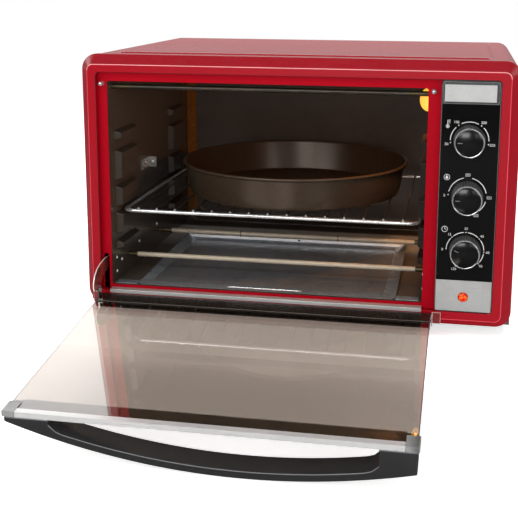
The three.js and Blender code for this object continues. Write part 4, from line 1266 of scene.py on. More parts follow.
            # The upper rods take the painted shade
            form.piece(f"{name}_rod", Palette.rod_painted_shade if "upper" in name else Palette.rod, name)
            form = Form()
            for end, way in ((self.left - 1.5, -1.0), (self.right + 1.5, 1.0)):
                form.turned([(radius, end + way * out) for radius, out in (
                    (0.0, -cold - 1.5), (self.rod_radius, -cold - 1.5), (self.rod_radius, 0.0),
                    (4.6, 0.05), (5.0, 0.6), (5.0, 8.4), (4.5, 9.0), (2.0, 9.0), (2.0, 14.6),
                    (1.5, 15.0), (0.0, 15.0))], Axis.X, (0.0, y, z), 24)
            form.piece(f"{name}_ends", Palette.rod_end)
        form = Form()
        _, y, z, _ = self.rods[1]
        for x in self.clips:
            form.wire(lifted(arc((y, z), 4.2, -60, 240, 10), Axis.X, x), 0.7, sides=10)
        form.piece("rod_clips", Palette.steel)

    def lamp(self) -> None:
        """Lamp in the right wall: domed glass cover and lit bulb."""
        centre, face = self.lamp_at, self.right - CLEAR
        dome = [*arc((0.0, face - 1.2), (15.0, 11.3), -90, 0, 12), (18.0, face - 1.2),
                (18.0, face), (13.8, face), *arc((0.0, face - 1.2), (13.8, 10.1), 0, -90, 12)]
        form = Form().turned(dome, Axis.X, centre, 48)
        form.piece("lamp_glass", Palette.dome, "lamp_cover")
        globe = [*arc((0.0, face + 4.25), 8.5, -90, 45, 12), (6.0, face + 17.0),
                 (6.0, face + 33.0), (0.0, face + 33.0)]
        form = Form().turned(globe, Axis.X, centre, 32)
        form.piece("lamp_globe", Palette.bulb, "lamp_bulb")
        dress("lamp_socket", Palette.ceramic)

    def fittings(self) -> None:
        """Sensor bracket, buffers and rivets round the opening."""
        face = self.left + CLEAR
        angle = [(face, 139.0), (face + 1.2, 139.0), (face + 1.2, 169.8), (face + 12.0, 169.8),
                 (face + 12.0, 171.0), (face, 171.0)]
        form = Form().bar(angle, Axis.Z, 157.0, 172.0).soften(0.3)
        form.piece("sensor_plate", Palette.bracket, "sensor_bracket")
        form = Form()
        for y in (147.0, 161.0):
            form.turned([(0.0, 3.0), (1.6, 2.8), (2.6, 2.0), (2.6, 1.25), (0.0, 1.25)], Axis.X,
                        (face, y, 164.5), 20)
        form.turned([(0.0, 167.4), (1.4, 167.6), (2.3, 168.4), (2.3, 169.75), (0.0, 169.75)],
                    Axis.Y, (face + 6.6, 0.0, 164.5), 20)
        form.piece("sensor_rivets", Palette.chrome)
        for name, x in (("door_buffer_left", -244.6), ("door_buffer_right", 172.0)):
            Form().turned([*arc((0.0, 1.5), 3.0, -90, 0, 8), (3.0, 8.7), (0.0, 8.7)], Axis.Y,
                          (x, 0.0, 293.5), 28).piece(f"{name}_stud", Palette.chrome, name)
        form = Form()
        for x, way, y, z in (
                (self.left, 1, 28.0, 60.0), (self.left, 1, 48.0, 52.0),
                (self.left, 1, 28.0, 41.0), (self.left, 1, 122.0, 58.0),
                (self.left, 1, 205.0, 63.0), (self.right, -1, 330.0, 150.0),
                (self.right, -1, 28.0, 60.0), (self.right, -1, 28.0, 41.0)):
            form.turned([(radius, way * out) for radius, out in (
                (0.0, 1.3), (1.3, 1.1), (2.1, 0.4), (2.1, 0.02), (0.0, 0.02))], Axis.X,
                (x, y, z), 16)
        # The rivets' near-white finish is a painted glint
        form.piece("wall_rivets", Palette.stud_painted_glint)

    def build(self) -> None:
        """Builds the cavity."""
        self.surround()
        self.wall("cavity_left_wall", self.left, 1.0)
        self.wall("cavity_right_wall", self.right, -1.0)
        self.back_wall()
        dress("cavity_top", Palette.cavity)
        # The floor carries painted light on its rear part
        dress("cavity_bottom", Palette.floor)
        self.heaters()
        self.lamp()
        self.fittings()


# Control panel


class Pictogram(Enum):
    """The generic symbol beside a dial, with the gap it leaves between arcs and numerals."""

    THERMOMETER = 10.0
    FLAME = 13.0
    CLOCK = 6.0


@dataclass(frozen=True)
class Dial:
    """One knob and the scale printed round it.

    Attributes:
        key: start of the CAD nodes' names.
        body: the knob's body.
        z: height of its centre.
        length: how far the knob stands out.
        turn: where the pointer stands, clockwise from the left, in degrees.
        marks: (angle, numeral) along the scale. An empty numeral is an element's sign.
        symbol: the pictogram.
        symbol_at: its place beside the dial's centre.
    """

    key: str
    body: Body
    z: float
    length: float
    turn: float
    marks: tuple[tuple[float, str], ...]
    symbol: Pictogram
    symbol_at: Flat


@dataclass
class ControlPanel:
    """Moulding, plates, scales, lens and the three knobs."""

    x: float = 215.8
    left: float = 181.3
    right: float = 250.7
    low: float = 22.3
    high: float = 307.7
    print_y: float = 0.75
    print_thick: float = 0.045
    lens_z: float = 41.5
    lens_hole: float = 6.3
    plate_x: Flat = (182.45, 249.55)
    bore: float = 4.0
    scale_radius: float = 22.6
    stroke: float = 0.5
    dot: float = 0.75
    numeral_height: float = 3.1
    numeral_gap: float = 4.6
    sign_gap: float = 3.4
    longest_arc: float = 73.0
    dials: tuple[Dial, ...] = (
        Dial("thermostat", Body.THERMOSTAT, 236.0, 20.5, 0.0,
             ((-10.0, "50"), (54.0, "100"), (126.0, "200"), (190.0, "250")),
             Pictogram.THERMOMETER, (-26.2, 20.0)),
        Dial("selector", Body.SELECTOR, 168.5, 29.0, 0.0,
             ((0.0, "0"), (90.0, ""), (182.0, ""), (244.0, "")), Pictogram.FLAME,
             (-24.9, 22.6)),
        Dial("timer", Body.TIMER, 101.0, 21.5, 22.0,
             ((0.0, "0"), (45.0, "15"), (91.0, "30"), (137.0, "45"), (183.0, "60"),
              (224.0, "90"), (298.0, "120")), Pictogram.CLOCK, (-25.2, 25.8)),
    )

    def moulding(self) -> None:
        """Dark moulding with thin light strips along its sides and round the badge: painted
        highlights.
        """
        middle = ((self.left + self.right) / 2, (self.low + self.high) / 2)
        half = ((self.right - self.left) / 2, (self.high - self.low) / 2)
        section = ((0.0, 8.7, 4.5), (0.0, 1.2, 4.5), (0.15, 0.9, 4.4), (0.45, 0.8, 4.2),
                   (0.9, 0.85, 3.8), (1.2, 2.4, 3.6))
        form = Form().skin([
            lifted(rounded((half[0] - inset, half[1] - inset), radius, 6, middle), Axis.Y, y)
            for inset, y, radius in section])
        for y in (8.7, 2.4):
            form.fill(lambda co, y=y: abs(co.y - y) < 0.01)
        form.piece("panel_moulding", Palette.moulding, "control_panel")
        low, high = (self.left + 1.3, 1.1, 279.5), (self.right - 1.3, 2.35, self.high - 1.3)
        Form().block(low, high).soften(0.4).piece("badge_bed", Palette.moulding)
        # Thin light strips along the sides and round the badge: painted highlights
        form = Form()
        for x in (self.left + 0.55, self.right - 0.55):
            form.block((x - 0.16, 0.72, self.low + 6.0), (x + 0.16, 0.9, self.high - 6.0))
        outer, inner = (rounded((half[0] - 1.7 - k, 13.0 - k), 3.0, 6, (middle[0], 293.0))
                        for k in (0.0, 0.32))
        form.skin([lifted(ring, Axis.Y, y) for ring, y in (
            (outer, 0.95), (inner, 0.95), (inner, 1.15), (outer, 1.15), (outer, 0.95))])
        form.piece("panel_painted_highlights", Palette.pointer_and_painted_highlight)

    def plates(self) -> None:
        """Blank badge, gloss dial plate, lower plate and the faceted red lens."""
        form = Form().bar(rect(185.0, 282.4, 245.4, 302.6), Axis.Y, 0.8, 1.05).soften(0.08, 1)
        form.piece("badge_sheet", Palette.brushed, "badge_plate")
        left, right = self.plate_x
        bores = [arc((self.x, dial.z), self.bore, 0, 352.5, 47) for dial in self.dials]
        form = Form.plate([rect(left, 62.9, right, 279.2), *bores], Axis.Y, 0.85, 2.25)
        form.piece("dial_glass", Palette.gloss, "dial_plate")
        hole = arc((self.x, self.lens_z), self.lens_hole, 0, 352.5, 47)
        form = Form.plate([rect(left, 23.45, right, 62.6), hole], Axis.Y, 0.8, 2.25)
        form.piece("lower_sheet", Palette.brushed, "lower_plate")
        gem = [(0.0, -1.6), (2.2, -1.6), (4.6, -0.7), (6.0, 0.6), (6.0, 6.0), (0.0, 6.0)]
        form = Form().turned(gem, Axis.Y, (self.x, 0.0, self.lens_z), 10)
        lens = form.piece("lens_gem", Palette.lens, "indicator_lens")
        lens.data.polygons.foreach_set("use_smooth", [False] * len(lens.data.polygons))

    def scale(self, dial: Dial) -> None:
        """Prints the scale of a dial: arcs between numerals, dots, numerals and symbols.

        Args:
            dial: the dial.
        """
        form, radius, y = Form(), self.scale_radius, self.print_y

        def spot(angle: float, r: float) -> Flat:
            """The point at an angle, clockwise from the left, and a radius."""
            return arc((self.x, dial.z), r, 180.0 - angle, 180.0, 1)[0]

        for (first, _), (last, _) in zip(dial.marks, dial.marks[1:]):
            if last - first < self.longest_arc or dial.symbol is Pictogram.FLAME:
                start, end = first + dial.symbol.value, last - dial.symbol.value
                count = max(2, int((end - start) / 4))
                edges = [arc((self.x, dial.z), r, 180.0 - start, 180.0 - end, count)
                         for r in (radius - self.stroke, radius + self.stroke)]
                form.skin([lifted(edge, Axis.Y, y) for edge in edges], looped=False)
        for angle, words in dial.marks:
            if words:
                dot = spot(angle + (3.0 if angle < 1.0 else 0.0), radius)
                form.face(lifted(arc(dot, self.dot, 0, 330, 11), Axis.Y, y))
        bmesh.ops.recalc_face_normals(form.mesh, faces=form.mesh.faces)
        form.lift(form.mesh.faces[:], Vector((0.0, self.print_thick, 0.0)))
        for angle, words in dial.marks:
            if words:
                a, b = spot(angle, radius + self.numeral_gap)
                form.join(Form.numeral(words, self.numeral_height).moved(
                    Matrix.Translation((a, y + 0.01, b)) @ Matrix.Rotation(math.pi / 2, 4, "X")))
            else:
                self.element(form, spot(angle, radius + self.sign_gap))
        self.symbol(form, dial)
        form.piece(f"{dial.key}_scale", Palette.printed)

    def slabs(self, form: Form, at: Flat, outlines: Sequence[Sequence[Flat]]) -> None:
        """Prints filled outlines.

        Args:
            form: the form to add to.
            at: where the outlines' origin goes.
            outlines: the outlines.
        """
        for points in outlines:
            form.bar([(at[0] + a, at[1] + b) for a, b in points], Axis.Y, self.print_y,
                     self.print_y + self.print_thick)

    def ring(self, form: Form, centre: Flat, radius: float, width: float) -> None:
        """Prints a ring.

        Args:
            form: the form to add to.
            centre: its centre.
            radius: its outer radius.
            width: its width.
        """
        low, high = self.print_y, self.print_y + self.print_thick
        form.turned([(radius - width, low), (radius, low), (radius, high),
                     (radius - width, high), (radius - width, low)],
                    Axis.Y, (centre[0], 0.0, centre[1]), 32)

    def symbol(self, form: Form, dial: Dial) -> None:
        """Prints the pictogram at the upper left of a dial.

        Args:
            form: the form to add to.
            dial: the dial.
        """
        at = (self.x + dial.symbol_at[0], dial.z + dial.symbol_at[1])
        if dial.symbol is Pictogram.THERMOMETER:
            self.ring(form, (at[0], at[1] - 3.0), 2.2, 0.6)
            self.slabs(form, at, [arc((0.0, -3.0), 1.1, 0, 330, 11), rect(-0.35, -2.4, 0.35, 4.5),
                                  *(rect(1.2, z, 3.0, z + 0.45) for z in (0.4, 1.7, 3.0, 4.3))])
            return
        self.ring(form, at, 3.7, 0.55)
        if dial.symbol is Pictogram.CLOCK:
            self.slabs(form, at, [rect(-0.25, 0.0, 0.25, 2.5), rect(0.0, -0.25, 2.0, 0.25)])
        else:
            self.slabs(form, at, [[(0.0, -2.2), (1.5, -1.4), (1.7, 0.0), (0.7, 1.4), (0.0, 2.6),
                                   (-0.7, 1.4), (-1.7, 0.0), (-1.5, -1.4)]])

    def element(self, form: Form, at: Flat) -> None:
        """Prints a small box with three bars, the sign of a heating element.

        Args:
            form: the form to add to.
            at: its centre.
        """
        self.slabs(form, at, [
            rect(x - w / 2, z - h / 2, x + w / 2, z + h / 2) for x, z, w, h in (
                (0.0, 1.5, 5.4, 0.35), (0.0, -1.5, 5.4, 0.35), (-2.6, 0.0, 0.35, 3.0),
                (2.6, 0.0, 0.35, 3.0), (-1.3, 0.0, 0.45, 1.8), (0.0, 0.0, 0.45, 1.8),
                (1.3, 0.0, 0.45, 1.8))])

    def knob(self, dial: Dial) -> None:
        """Ribbed skirt, domed gloss cap, chrome ring and inlaid pointer of a knob.

        Args:
            dial: the dial.
        """
        lip, seat, count, ribs = 0.8 - dial.length, 16.05, 144, 36
        ring_back = lip + 2.4
        centre = (self.x, 0.0, dial.z)
        turn = Matrix.Translation(centre) @ Matrix.Rotation(math.radians(dial.turn), 4, "Y")

        def row(y: float, radius: float, flute: float) -> list[Point]:
            """One station of the skirt.

            Args:
                y: its place along the axis.
                radius: its radius.
                flute: depth of its flutes.

            Returns:
                The points.
            """
            points = []
            for i in range(count):
                a = math.tau * i / count
                r = radius - flute * (0.5 - 0.5 * math.cos(a * ribs)) ** 0.7
                points.append((r * math.cos(a), y, r * math.sin(a)))
            return points

        rows = [row(-0.4, 14.0, 0.0), row(-0.4, 18.6, 0.0), row(-0.9, 19.2, 0.3),
                row(-1.6, 19.1, 0.9), row(ring_back - 0.4, 17.9, 0.9),
                row(ring_back, 17.7, 0.2), row(ring_back, 15.9, 0.0)]
        form = Form().skin(rows, caps=True).moved(turn)
        form.piece(f"{dial.key}_skirt", Palette.skirt, body=dial.body)
        dome = [(seat * r, lip - 2.4 * (1 - r * r) ** 0.8)
                for r in (0.0, 0.15, 0.3, 0.45, 0.6, 0.75, 0.87, 0.95, 1.0)]
        form = Form().turned([*dome, (seat, ring_back - 0.1), (0.0, ring_back - 0.1)], Axis.Y,
                             centre, 64)
        form.piece(f"{dial.key}_cap", Palette.cap, f"{dial.key}_knob", body=dial.body)
        bezel = [(16.4, 0.1), (16.7, -0.1), (17.2, -0.1), (17.6, 0.3), (17.6, 1.9), (17.3, 2.1),
                 (16.4, 2.1), (16.4, 0.1)]
        form = Form().turned([(radius, lip + back) for radius, back in bezel], Axis.Y, centre, 64)
        form.piece(f"{dial.key}_bezel", Palette.chrome, f"{dial.key}_ring", body=dial.body)
        pointer = [(-13.6, -0.45), (-13.6, 0.45), (-8.4, 0.45), (-8.1, 0.2), (-8.1, -0.2),
                   (-8.4, -0.45)]
        form = Form().bar(pointer, Axis.Y, lip - 2.2, lip).soften(0.15).moved(turn)
        form.piece(f"{dial.key}_pointer", Palette.pointer_and_painted_highlight, body=dial.body)
        dress(f"{dial.key}_spindle", Palette.steel)

    def build(self) -> None:
        """Builds the control panel."""
        self.moulding()
        self.plates()
        for dial in self.dials:
            self.scale(dial)
            self.knob(dial)
        for node in ("thermostat", "selector_switch", "timer"):
            dress(node, Palette.black)


# Door


@dataclass
class Door:
    """Tinted glass between an aluminium top rail and a black bottom rail, with the bow handle."""

    left: float = -249.5
    right: float = 177.5
    glass: Flat = (12.0, 284.0)
    glass_y: Flat = (0.2, 4.2)
    rail: Flat = (261.6, 291.6)
    handle_depth: Flat = (6.9, 26.6)
    bow: float = 32.0
    band: float = 9.0
    posts: Flat = (49.0, 37.5)
    fillet: float = 12.0
    swell: float = 6.0
    rivet: Flat = (22.0, 13.0)

    def pane(self) -> None:
        """The tinted pane with ground edges at its sides."""
        def accent(face: Face) -> int:
            """Whether a face belongs to a ground edge."""
            x = face.calc_center_median().x
            return int(x < self.left + 0.95 or x > self.right - 0.95)

        low, high = zip((self.left, self.right), self.glass_y, self.glass)
        form = Form().block(low, high).soften(0.9).mark(accent)
        form.piece("door_pane", Palette.tinted, "door_glass", body=Body.DOOR,
                   accents=[Palette.glass_edge])

    def rails(self) -> None:
        """Top rail, its end caps and the bottom rail."""
        low, high = self.rail

        def section(lip: float, edge: float) -> list[Flat]:
            """The clip's outline, with its lips from a height and the glass's top edge."""
            back = 283.6 if lip == low else lip
            return [(-1.0, lip), (-0.1, lip), (-0.1, edge), (4.5, edge), (4.5, back),
                    (5.4, back), (5.4, high), (-1.0, high)]

        form = Form().bar(section(low, 290.4), Axis.X, self.left + 12.3, self.right - 12.3)
        form.soften(0.3).piece("top_rail", Palette.aluminium, "door_top_rail", body=Body.DOOR)
        for name, end, way in (("door_cap_left", self.left, -1), ("door_cap_right", self.right, 1)):
            tip, slot, inner = end + way * 2.0, end + way * 0.3, end - way * 12.0
            form = Form().bar(section(271.6, 284.3), Axis.X, *sorted((slot, inner)))
            form.block((min(tip, slot), -1.0, 271.6), (max(tip, slot), 5.4, high)).soften(0.5)
            form.piece(f"{name}_trim", Palette.trim, name, body=Body.DOOR)
        clip = [(-8.5, -0.5), (-5.0, -4.0), (4.45, -4.0), (5.5, -2.95), (5.5, 20.2), (4.5, 20.2),
                (4.5, 11.7), (-0.1, 11.7), (-0.1, 20.2), (-5.0, 20.2), (-8.5, 16.7)]
        form = Form().bar(clip, Axis.X, self.left, self.right)
        # Rounded edges along the rail take the painted highlight
        form.soften(0.35, 2, 20.0, lambda face: int(abs(face.normal.x) < 0.5))
        form.piece("bottom_rail", Palette.black_paint, "door_bottom_rail", body=Body.DOOR,
                   accents=[Palette.rail_painted_highlight])

    def handle(self) -> None:
        """The bow handle: a deep band between two posts, with soft edges."""
        width, steps = self.right - self.left, 48
        start, end = self.posts[0] / width, 1 - self.posts[1] / width

        def depth(u: float) -> float:
            """The front of the bow at a share of its width."""
            first, last = self.handle_depth
            return -(first + (last - first) * u + self.bow * 4 * u * (1 - u))

        def accent(face: Face) -> int:
            """Whether a rounded face belongs to the inner edge of the band, which takes a painted
            highlight.
            """
            return int(face.calc_center_median().z > self.rail[1] - 0.9
                       and face.normal.y > 0.2 and face.normal.z > 0.5)

        outline = [(self.left + width * i / steps, depth(i / steps)) for i in range(steps + 1)]
        outline += [(self.right, -1.3), (self.right - self.posts[1], -1.3)]
        for i in range(steps + 1):
            u = end - (end - start) * i / steps
            edge = min(i, steps - i) / steps * width * (end - start)
            swell = max(0.0, 1 - edge / self.fillet) ** 2 * self.swell
            outline.append((self.left + width * u, min(depth(u) + self.band + swell, -1.6)))
        outline += [(self.left + self.posts[0], -1.3), (self.left, -1.3)]
        form = Form().bar(outline, Axis.Z, *self.rail).soften(1.3, 4, 40.0, accent)
        form.piece("bow_handle", Palette.black, "handle", body=Body.DOOR,
                   accents=[Palette.black_painted_highlight])

    def hinges(self) -> None:
        """Hinge brackets and pins on the frame, the door's plate and the arm."""
        for name, side, end in (("left", -1.0, self.left), ("right", 1.0, self.right)):
            near, far = end + side, end + side * 12.0
            ear = [(near, -13.5), (near, -0.3), (far, -0.3), (far, -1.5),
                   (near + side * 1.2, -1.5), (near + side * 1.2, -13.5)]
            # All rounded edges of the ear take the painted highlight
            form = Form().bar(ear, Axis.Z, 6.0, 20.5).soften(0.3, accent=lambda face: 1)
            form.piece(f"hinge_ear_{name}", Palette.arm, f"hinge_bracket_{name}",
                       accents=[Palette.arm_painted_highlight])
            low, high = sorted((near + side * 1.5, end - side * 12.0))
            pin = [(0.0, low), (2.2, low), (2.5, low + 0.3), (2.5, high - 0.3), (2.2, high),
                   (0.0, high)]
            form = Form().turned(pin, Axis.X, PIVOT, 24)
            form.piece(f"hinge_shaft_{name}", Palette.steel, f"hinge_pin_{name}")
        blade = [(5.8, 8.7), (22.0, 8.7), *arc(self.rivet, 4.3, -60, 90, 8), (5.8, 18.5)]
        form = Form().bar(blade, Axis.X, -246.5, -244.5)
        form.block((-244.5, 5.8, 8.7), (-240.3, 6.8, 18.5)).soften(0.25)
        rivet = [(0.0, -249.2), (2.4, -249.2), (3.4, -248.9), (3.4, -248.6), (2.5, -248.6),
                 (2.5, -246.4), (0.0, -246.4)]
        form.turned(rivet, Axis.X, (0.0, *self.rivet), 24)
        form.piece("hinge_blade", Palette.steel, "hinge_plate", body=Body.DOOR)
        opened = Matrix.Rotation(OPEN_ANGLE, 4, "X") @ Vector((0.0, *self.rivet)) + PIVOT
        bend = [(26, 63), (10, 64.6), (-1.2, 63.5), (-12.8, 61.2), (-24.2, 57.4), (-32.6, 51),
                (-37.4, 43), (-38.4, 36.1), (-36, 31.4), (-30, 29.9), (-17, 29.9), (-12, 33),
                (-9.2, 38.5), (-5.3, 43.9), (2.5, 46.9), (14.4, 47.8), (26, 50)]
        eye = arc((opened.y, opened.z), 2.9, 0, 345, 23)
        form = Form.plate([bend, eye], Axis.X, -248.3, -246.8, 0.3)
        # Side faces of the link take the painted highlight, its flat faces the painted red
        # reflection
        form.mark(lambda face: int(abs(face.normal.x) <= 0.95))
        form.piece("hinge_link", Palette.arm, "hinge_arm", body=Body.ARM,
                   accents=[Palette.arm_painted_highlight])

    def build(self) -> None:
        """Builds the door."""
        self.pane()
        self.rails()
        self.handle()
        self.hinges()


# Rack, pan and tray


@dataclass
class Racking:
    """Wire rack, round pan and crumb tray."""

    left: float = -233.6
    right: float = 159.0
    front: float = 43.0
    back: float = 358.0
    z: float = 121.0
    wire_radius: float = 2.5
    cross_radius: float = 1.5
    cross_rise: float = 3.4
    cross_pitch: float = 25.0
    pan_z: Flat = (126.2, 172.2)
    pan_at: Point = (-28.0, 201.5, 0.0)
    tray_at: Flat = (-36.75, 137.6)
    tray_half: Flat = (169.25, 126.4)
    tray_z: Flat = (30.3, 38.0)
    tray_sheet: float = 0.9

    def rack(self) -> None:
        """Frame wire with fifteen wires welded across it: painted shade on the cross wires, with
        their front ends left bright.
        """
        middle = ((self.left + self.right) / 2, (self.front + self.back) / 2)
        half = ((self.right - self.left) / 2, (self.back - self.front) / 2)
        form = Form().wire(lifted(rounded(half, 14.0, 8, middle), Axis.Z, self.z),
                           self.wire_radius, looped=True)
        around = set(form.mesh.faces)
        for i in range(-7, 8):
            form.turned([(0.0, self.front - 0.8), (0.9, self.front - 0.7),
                         (self.cross_radius, self.front - 0.1),
                         (self.cross_radius, self.back + 0.1),
                         (0.9, self.back + 0.7), (0.0, self.back + 0.8)], Axis.Y,
                        (middle[0] + self.cross_pitch * i, 0.0, self.z + self.cross_rise), 14)
        # Painted shade: cross-wire faces behind the front take the darker finish
        form.mark(lambda side: int(side not in around
                                   and side.calc_center_median().y > self.front))
        form.piece("rack_wires", Palette.chrome, "rack", body=Body.RACK,
                   accents=[Palette.cross])

    def pan(self) -> None:
        """Round tin with a rolled rim."""
        low, top = self.pan_z
        section = [
            (0.0, low), (144.0, low), (147.2, low + 0.5), (149.2, low + 1.8), (150.0, low + 4.0),
            (157.6, top - 5.2), *arc((159.0, top - 2.0), 2.0, -60, 210, 9),
            (148.2, low + 4.4), (147.2, low + 2.6), (144.6, low + 1.7), (0.0, low + 1.6)]
        form = Form().turned(section, Axis.Z, self.pan_at, 128)
        form.piece("round_pan", Palette.coating, "pan", body=Body.PAN)

    def tray(self) -> None:
        """Crumb tray with sloped borders, rear flange and wire pull."""
        (cx, cy), half, rise = self.tray_at, self.tray_half, self.tray_z[1] - self.tray_z[0]
        left, right = cx - half[0], cx + half[0]

        def row(inset: float, z: float, radius: float, share: float,
                ahead: float = 0.0) -> list[Point]:
            """A ring of the tray, with a share of the rear's rise and its front set back."""
            return [(x, y, z + share * rise) if y > cy else (x, y + ahead, z) for x, y in rounded(
                (half[0] - inset, half[1] - inset), radius, 8, self.tray_at)]

        up, body = Axis.Z.value, Body.TRAY
        form = Form().skin([
            row(0.9, 29.3, 7.1, 1.0), row(0.1, 29.7, 7.9, 1.0), row(0.1, 30.0, 7.9, 1.0),
            row(0.5, 30.3, 7.5, 1.0), row(2.6, 30.3, 7.0, 1.0, 12.0),
            row(3.6, 30.25, 6.5, 0.92, 12.5), row(14.6, 29.98, 6.0, 0.08, 6.0),
            row(15.9, 29.92, 6.0, 0.0, 6.0)])
        # The border takes the painted sheen
        form.facing(up).piece("tray_border", Palette.border_painted_sheen, body=body, wall=self.tray_sheet)
        form = Form().skin([row(16.0, 29.9, 6.0, 0.0, 6.0), row(60.0, 29.9, 4.0, 0.0)])
        form.fill(lambda co: abs(co.x - cx) < 137 and abs(co.y - cy) < 69).facing(up)
        form.piece("tray_sheet_form", Palette.tray, "crumb_tray", body=body,
                   wall=self.tray_sheet)
        form = Form()
        for low, high in ((-234.8, -206.2), (132.7, 161.3)):
            form.block((low, 11.3, 29.35), (high, 26.1, 30.25))
        form.soften(0.3).piece("tray_wings", Palette.border_painted_sheen, body=body)
        hem = arc((cy + half[1] - 2.2, self.tray_z[1] - 1.6), 1.7, 0, 330, 11)
        form = Form().bar(hem, Axis.X, left + 9.0, right - 9.0)
        form.piece("tray_rear_hem", Palette.steel, body=body)
        strip = [(260.2, 37.6), (253.0, 37.6), (252.6, 37.2), (252.6, 36.7), (253.0, 36.3),
                 (253.0, 34.4), (252.6, 34.0), (252.6, 33.4), (253.0, 33.0), (254.0, 33.2)]
        form = Form().bar(strip, Axis.X, left + 4.0, right - 4.0)
        # The rear strip's near-white finish is a painted highlight
        form.piece("tray_rear_strip", Palette.stud_painted_glint, body=body)
        # A black disc stands in for the hole: painted shade
        disc = [(0.0, 252.9), (1.5, 252.9), (1.5, 253.05), (0.0, 253.05)]
        form = Form().turned(disc, Axis.Y, (-30.0, 0.0, 35.3), 20)
        form.piece("tray_hole_painted_shade", Palette.gloss, body=body)
        pull = ((-85.0, 0.0, 0.0), (-83.6, 1.4, 1.2), (-80.0, 2.8, 1.9), (-60.0, 3.0, 2.0),
                (-35.6, 3.0, 2.0), (-11.2, 3.0, 2.0), (8.6, 2.8, 1.9), (12.2, 1.4, 1.2),
                (13.4, 0.0, 0.0))
        form = Form().wire([(x, 12.6 - out, 31.8 + over) for x, out, over in pull], 1.05)
        form.piece("tray_pull", Palette.chrome, "tray_bail", body=body)

    def build(self) -> None:
        """Builds the loose parts in the cavity."""
        self.rack()
        self.pan()
        self.tray()


# Studio


@dataclass(frozen=True)
class SoftBox:
    """A rectangular lamp.

    Attributes:
        name: the light's name.
        at: its place in drawing millimetres.
        towards: the point that it faces.
        size: width and height in millimetres.
        power: watts.
        colour: its colour.
        mirrored: shows in reflections.
    """

    name: str
    at: Point
    towards: Point
    size: Flat
    power: float
    colour: Point = (1.0, 1.0, 1.0)
    mirrored: bool = True


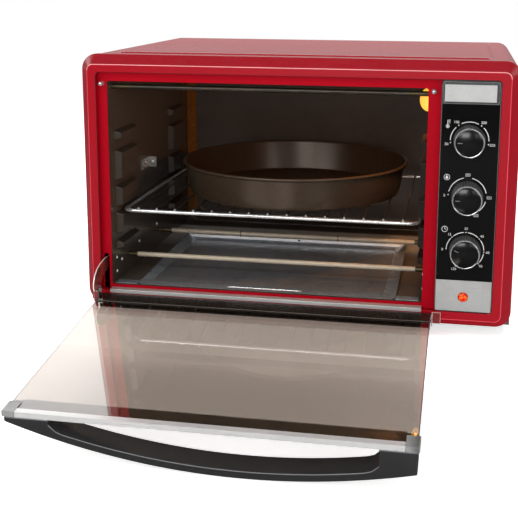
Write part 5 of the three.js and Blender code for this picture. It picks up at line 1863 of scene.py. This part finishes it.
@dataclass
class Studio:
    """Plain pale stand, soft lights and the camera."""

    surroundings: float = 0.3
    room: float = 0.1
    backdrop: Flat = (0.22, 2.3)
    floor_glow: float = 0.68
    stand_top: float = -15.05
    floor: float = -72.0
    stand_front: float = 12.0
    stand_reach: Flat = (4000.0, 3000.0)
    sensor: float = 36.0
    clip: Flat = (0.05, 60.0)
    lens: float = 69.24
    shift: Flat = (-0.037, -0.15)
    camera_at: Point = (206.1, -1193.7, 421.2)
    camera_turn: Point = (90 - 11.35, -0.26, 10.57)
    lamps: tuple[SoftBox, ...] = (
        SoftBox("key_left", (-1100, -1900, 1250), (0, 0, 150), (1200, 1200), 17),
        SoftBox("low_front", (100, -1900, 150), (0, 200, 100), (1200, 500), 7, mirrored=False),
        SoftBox("fill_right", (1500, -1700, 900), (0, 0, 150), (600, 800), 7),
        SoftBox("strip", (0, -1500, 1500), (0, 0, 330), (2000, 120), 8),
        SoftBox("top_back", (0, 1000, 1400), (0, 200, 330), (1600, 900), 34, mirrored=False),
        SoftBox("front_high", (-100, -1880, 620), (200, 0, 200), (600, 420), 5.2),
        SoftBox("front_side", (800, -1880, 640), (200, 0, 200), (220, 420), 0.6),
        SoftBox("oven_lamp", (150, 72, 272), (40, 110, 190), (26, 26), 0.4, (1.0, 0.42, 0.1),
                False),
        SoftBox("lamp_bounce", (158, 190, 112), (80, 230, 20), (60, 60), 0.06,
                (1.0, 0.45, 0.14), False),
    )

    def stand(self) -> None:
        """A pale worktop that ends behind the open door, over a lower floor.

        Reflections see a darker stand without its glow, so the oven keeps its depth.
        """
        front, top, floor = self.stand_front, self.stand_top, self.floor
        wide, deep = self.stand_reach
        section = ((-deep, floor), (front - 6.0, floor), (front, floor + 6.0),
                   (front, top - 4.0), (front + 4.0, top), (deep, top))
        form = Form().skin([[(x, y, z) for x in (-wide, wide)] for y, z in section],
                           looped=False)
        item = form.facing(Axis.Z.value).settled("stand", Body.HOUSING)
        material = bpy.data.materials.new("pale_floor")
        material.use_nodes = True
        net = Wiring(material.node_tree)
        seen = net.node("LightPath").outputs
        mirrored = net.maths("SUBTRACT", seen["Is Glossy Ray"], seen["Is Transmission Ray"],
                             clamp=True)
        net.fill(material.node_tree.nodes["Principled BSDF"], {
            "Roughness": 0.9, "Emission Color": (1.0, 1.0, 1.0, 1.0),
            "Base Color": net.blend(mirrored, (0.93, 0.93, 0.93, 1.0), (0.1, 0.1, 0.1, 1.0)),
            "Emission Strength": net.mapped(mirrored, (0.0, 1.0), (self.floor_glow, 0.0))})
        item.data.materials.append(material)

    def world(self) -> None:
        """Even white surroundings, with a brighter backdrop that only reflections see."""
        world = bpy.data.worlds.new("studio")
        world.use_nodes = True
        net = Wiring(world.node_tree)
        soft = "SMOOTHSTEP"
        seen = net.node("LightPath").outputs
        way = net.node("SeparateXYZ", {0: net.node("TexCoord").outputs["Generated"]}).outputs
        behind = net.mapped(way["Y"], (0.0, 0.4), kind=soft)
        high = net.maths("MULTIPLY", net.mapped(way["Z"], (0.2, 0.36), self.backdrop, soft),
                         net.mapped(way["Z"], (0.5, 0.8), (1.0, 0.1), soft))
        mirrored = net.maths("ADD", net.maths("MULTIPLY", behind, high), self.room)
        level = net.either(seen["Is Glossy Ray"], self.surroundings, mirrored)
        plain = net.maths("MAXIMUM", seen["Is Camera Ray"], seen["Is Transmission Ray"])
        net.fill(world.node_tree.nodes["Background"], {
            "Strength": net.either(plain, level, 1.0), "Color": (1.0, 1.0, 1.0, 1.0)})
        bpy.context.scene.world = world

    def light(self, box: SoftBox) -> None:
        """Adds a lamp.

        Args:
            box: the lamp.
        """
        light = bpy.data.lights.new(box.name, "AREA")
        light.shape = "RECTANGLE"
        light.size, light.size_y = box.size[0] * MM, box.size[1] * MM
        light.energy, light.color = box.power, box.colour
        item = bpy.data.objects.new(box.name, light)
        item.visible_glossy = box.mirrored
        bpy.context.scene.collection.objects.link(item)
        start, end = (place(Body.HOUSING) @ Vector(point) for point in (box.at, box.towards))
        item.location = start
        item.rotation_mode = "QUATERNION"
        item.rotation_quaternion = (end - start).to_track_quat("-Z", "Y")

    def camera(self) -> None:
        """The camera at the photograph's place."""
        data = bpy.data.cameras.new("camera")
        data.sensor_width, data.lens = self.sensor, self.lens
        data.shift_x, data.shift_y = self.shift
        data.clip_start, data.clip_end = self.clip
        item = bpy.data.objects.new("camera", data)
        bpy.context.scene.collection.objects.link(item)
        item.location = place(Body.HOUSING) @ Vector(self.camera_at)
        item.rotation_euler = [math.radians(angle) for angle in self.camera_turn]
        bpy.context.scene.camera = item

    def build(self) -> None:
        """Sets the stage."""
        self.camera()
        self.stand()
        self.world()
        for box in self.lamps:
            self.light(box)
        bpy.context.scene.view_settings.view_transform = "Standard"


def main() -> None:
    """Builds the studio and the oven in order."""
    logging.basicConfig(level=logging.INFO, format="%(name)s: %(message)s")
    for part in (Studio(), Housing(), Cavity(), ControlPanel(), Door(), Racking()):
        part.build()


if __name__ == "__main__":
    main()
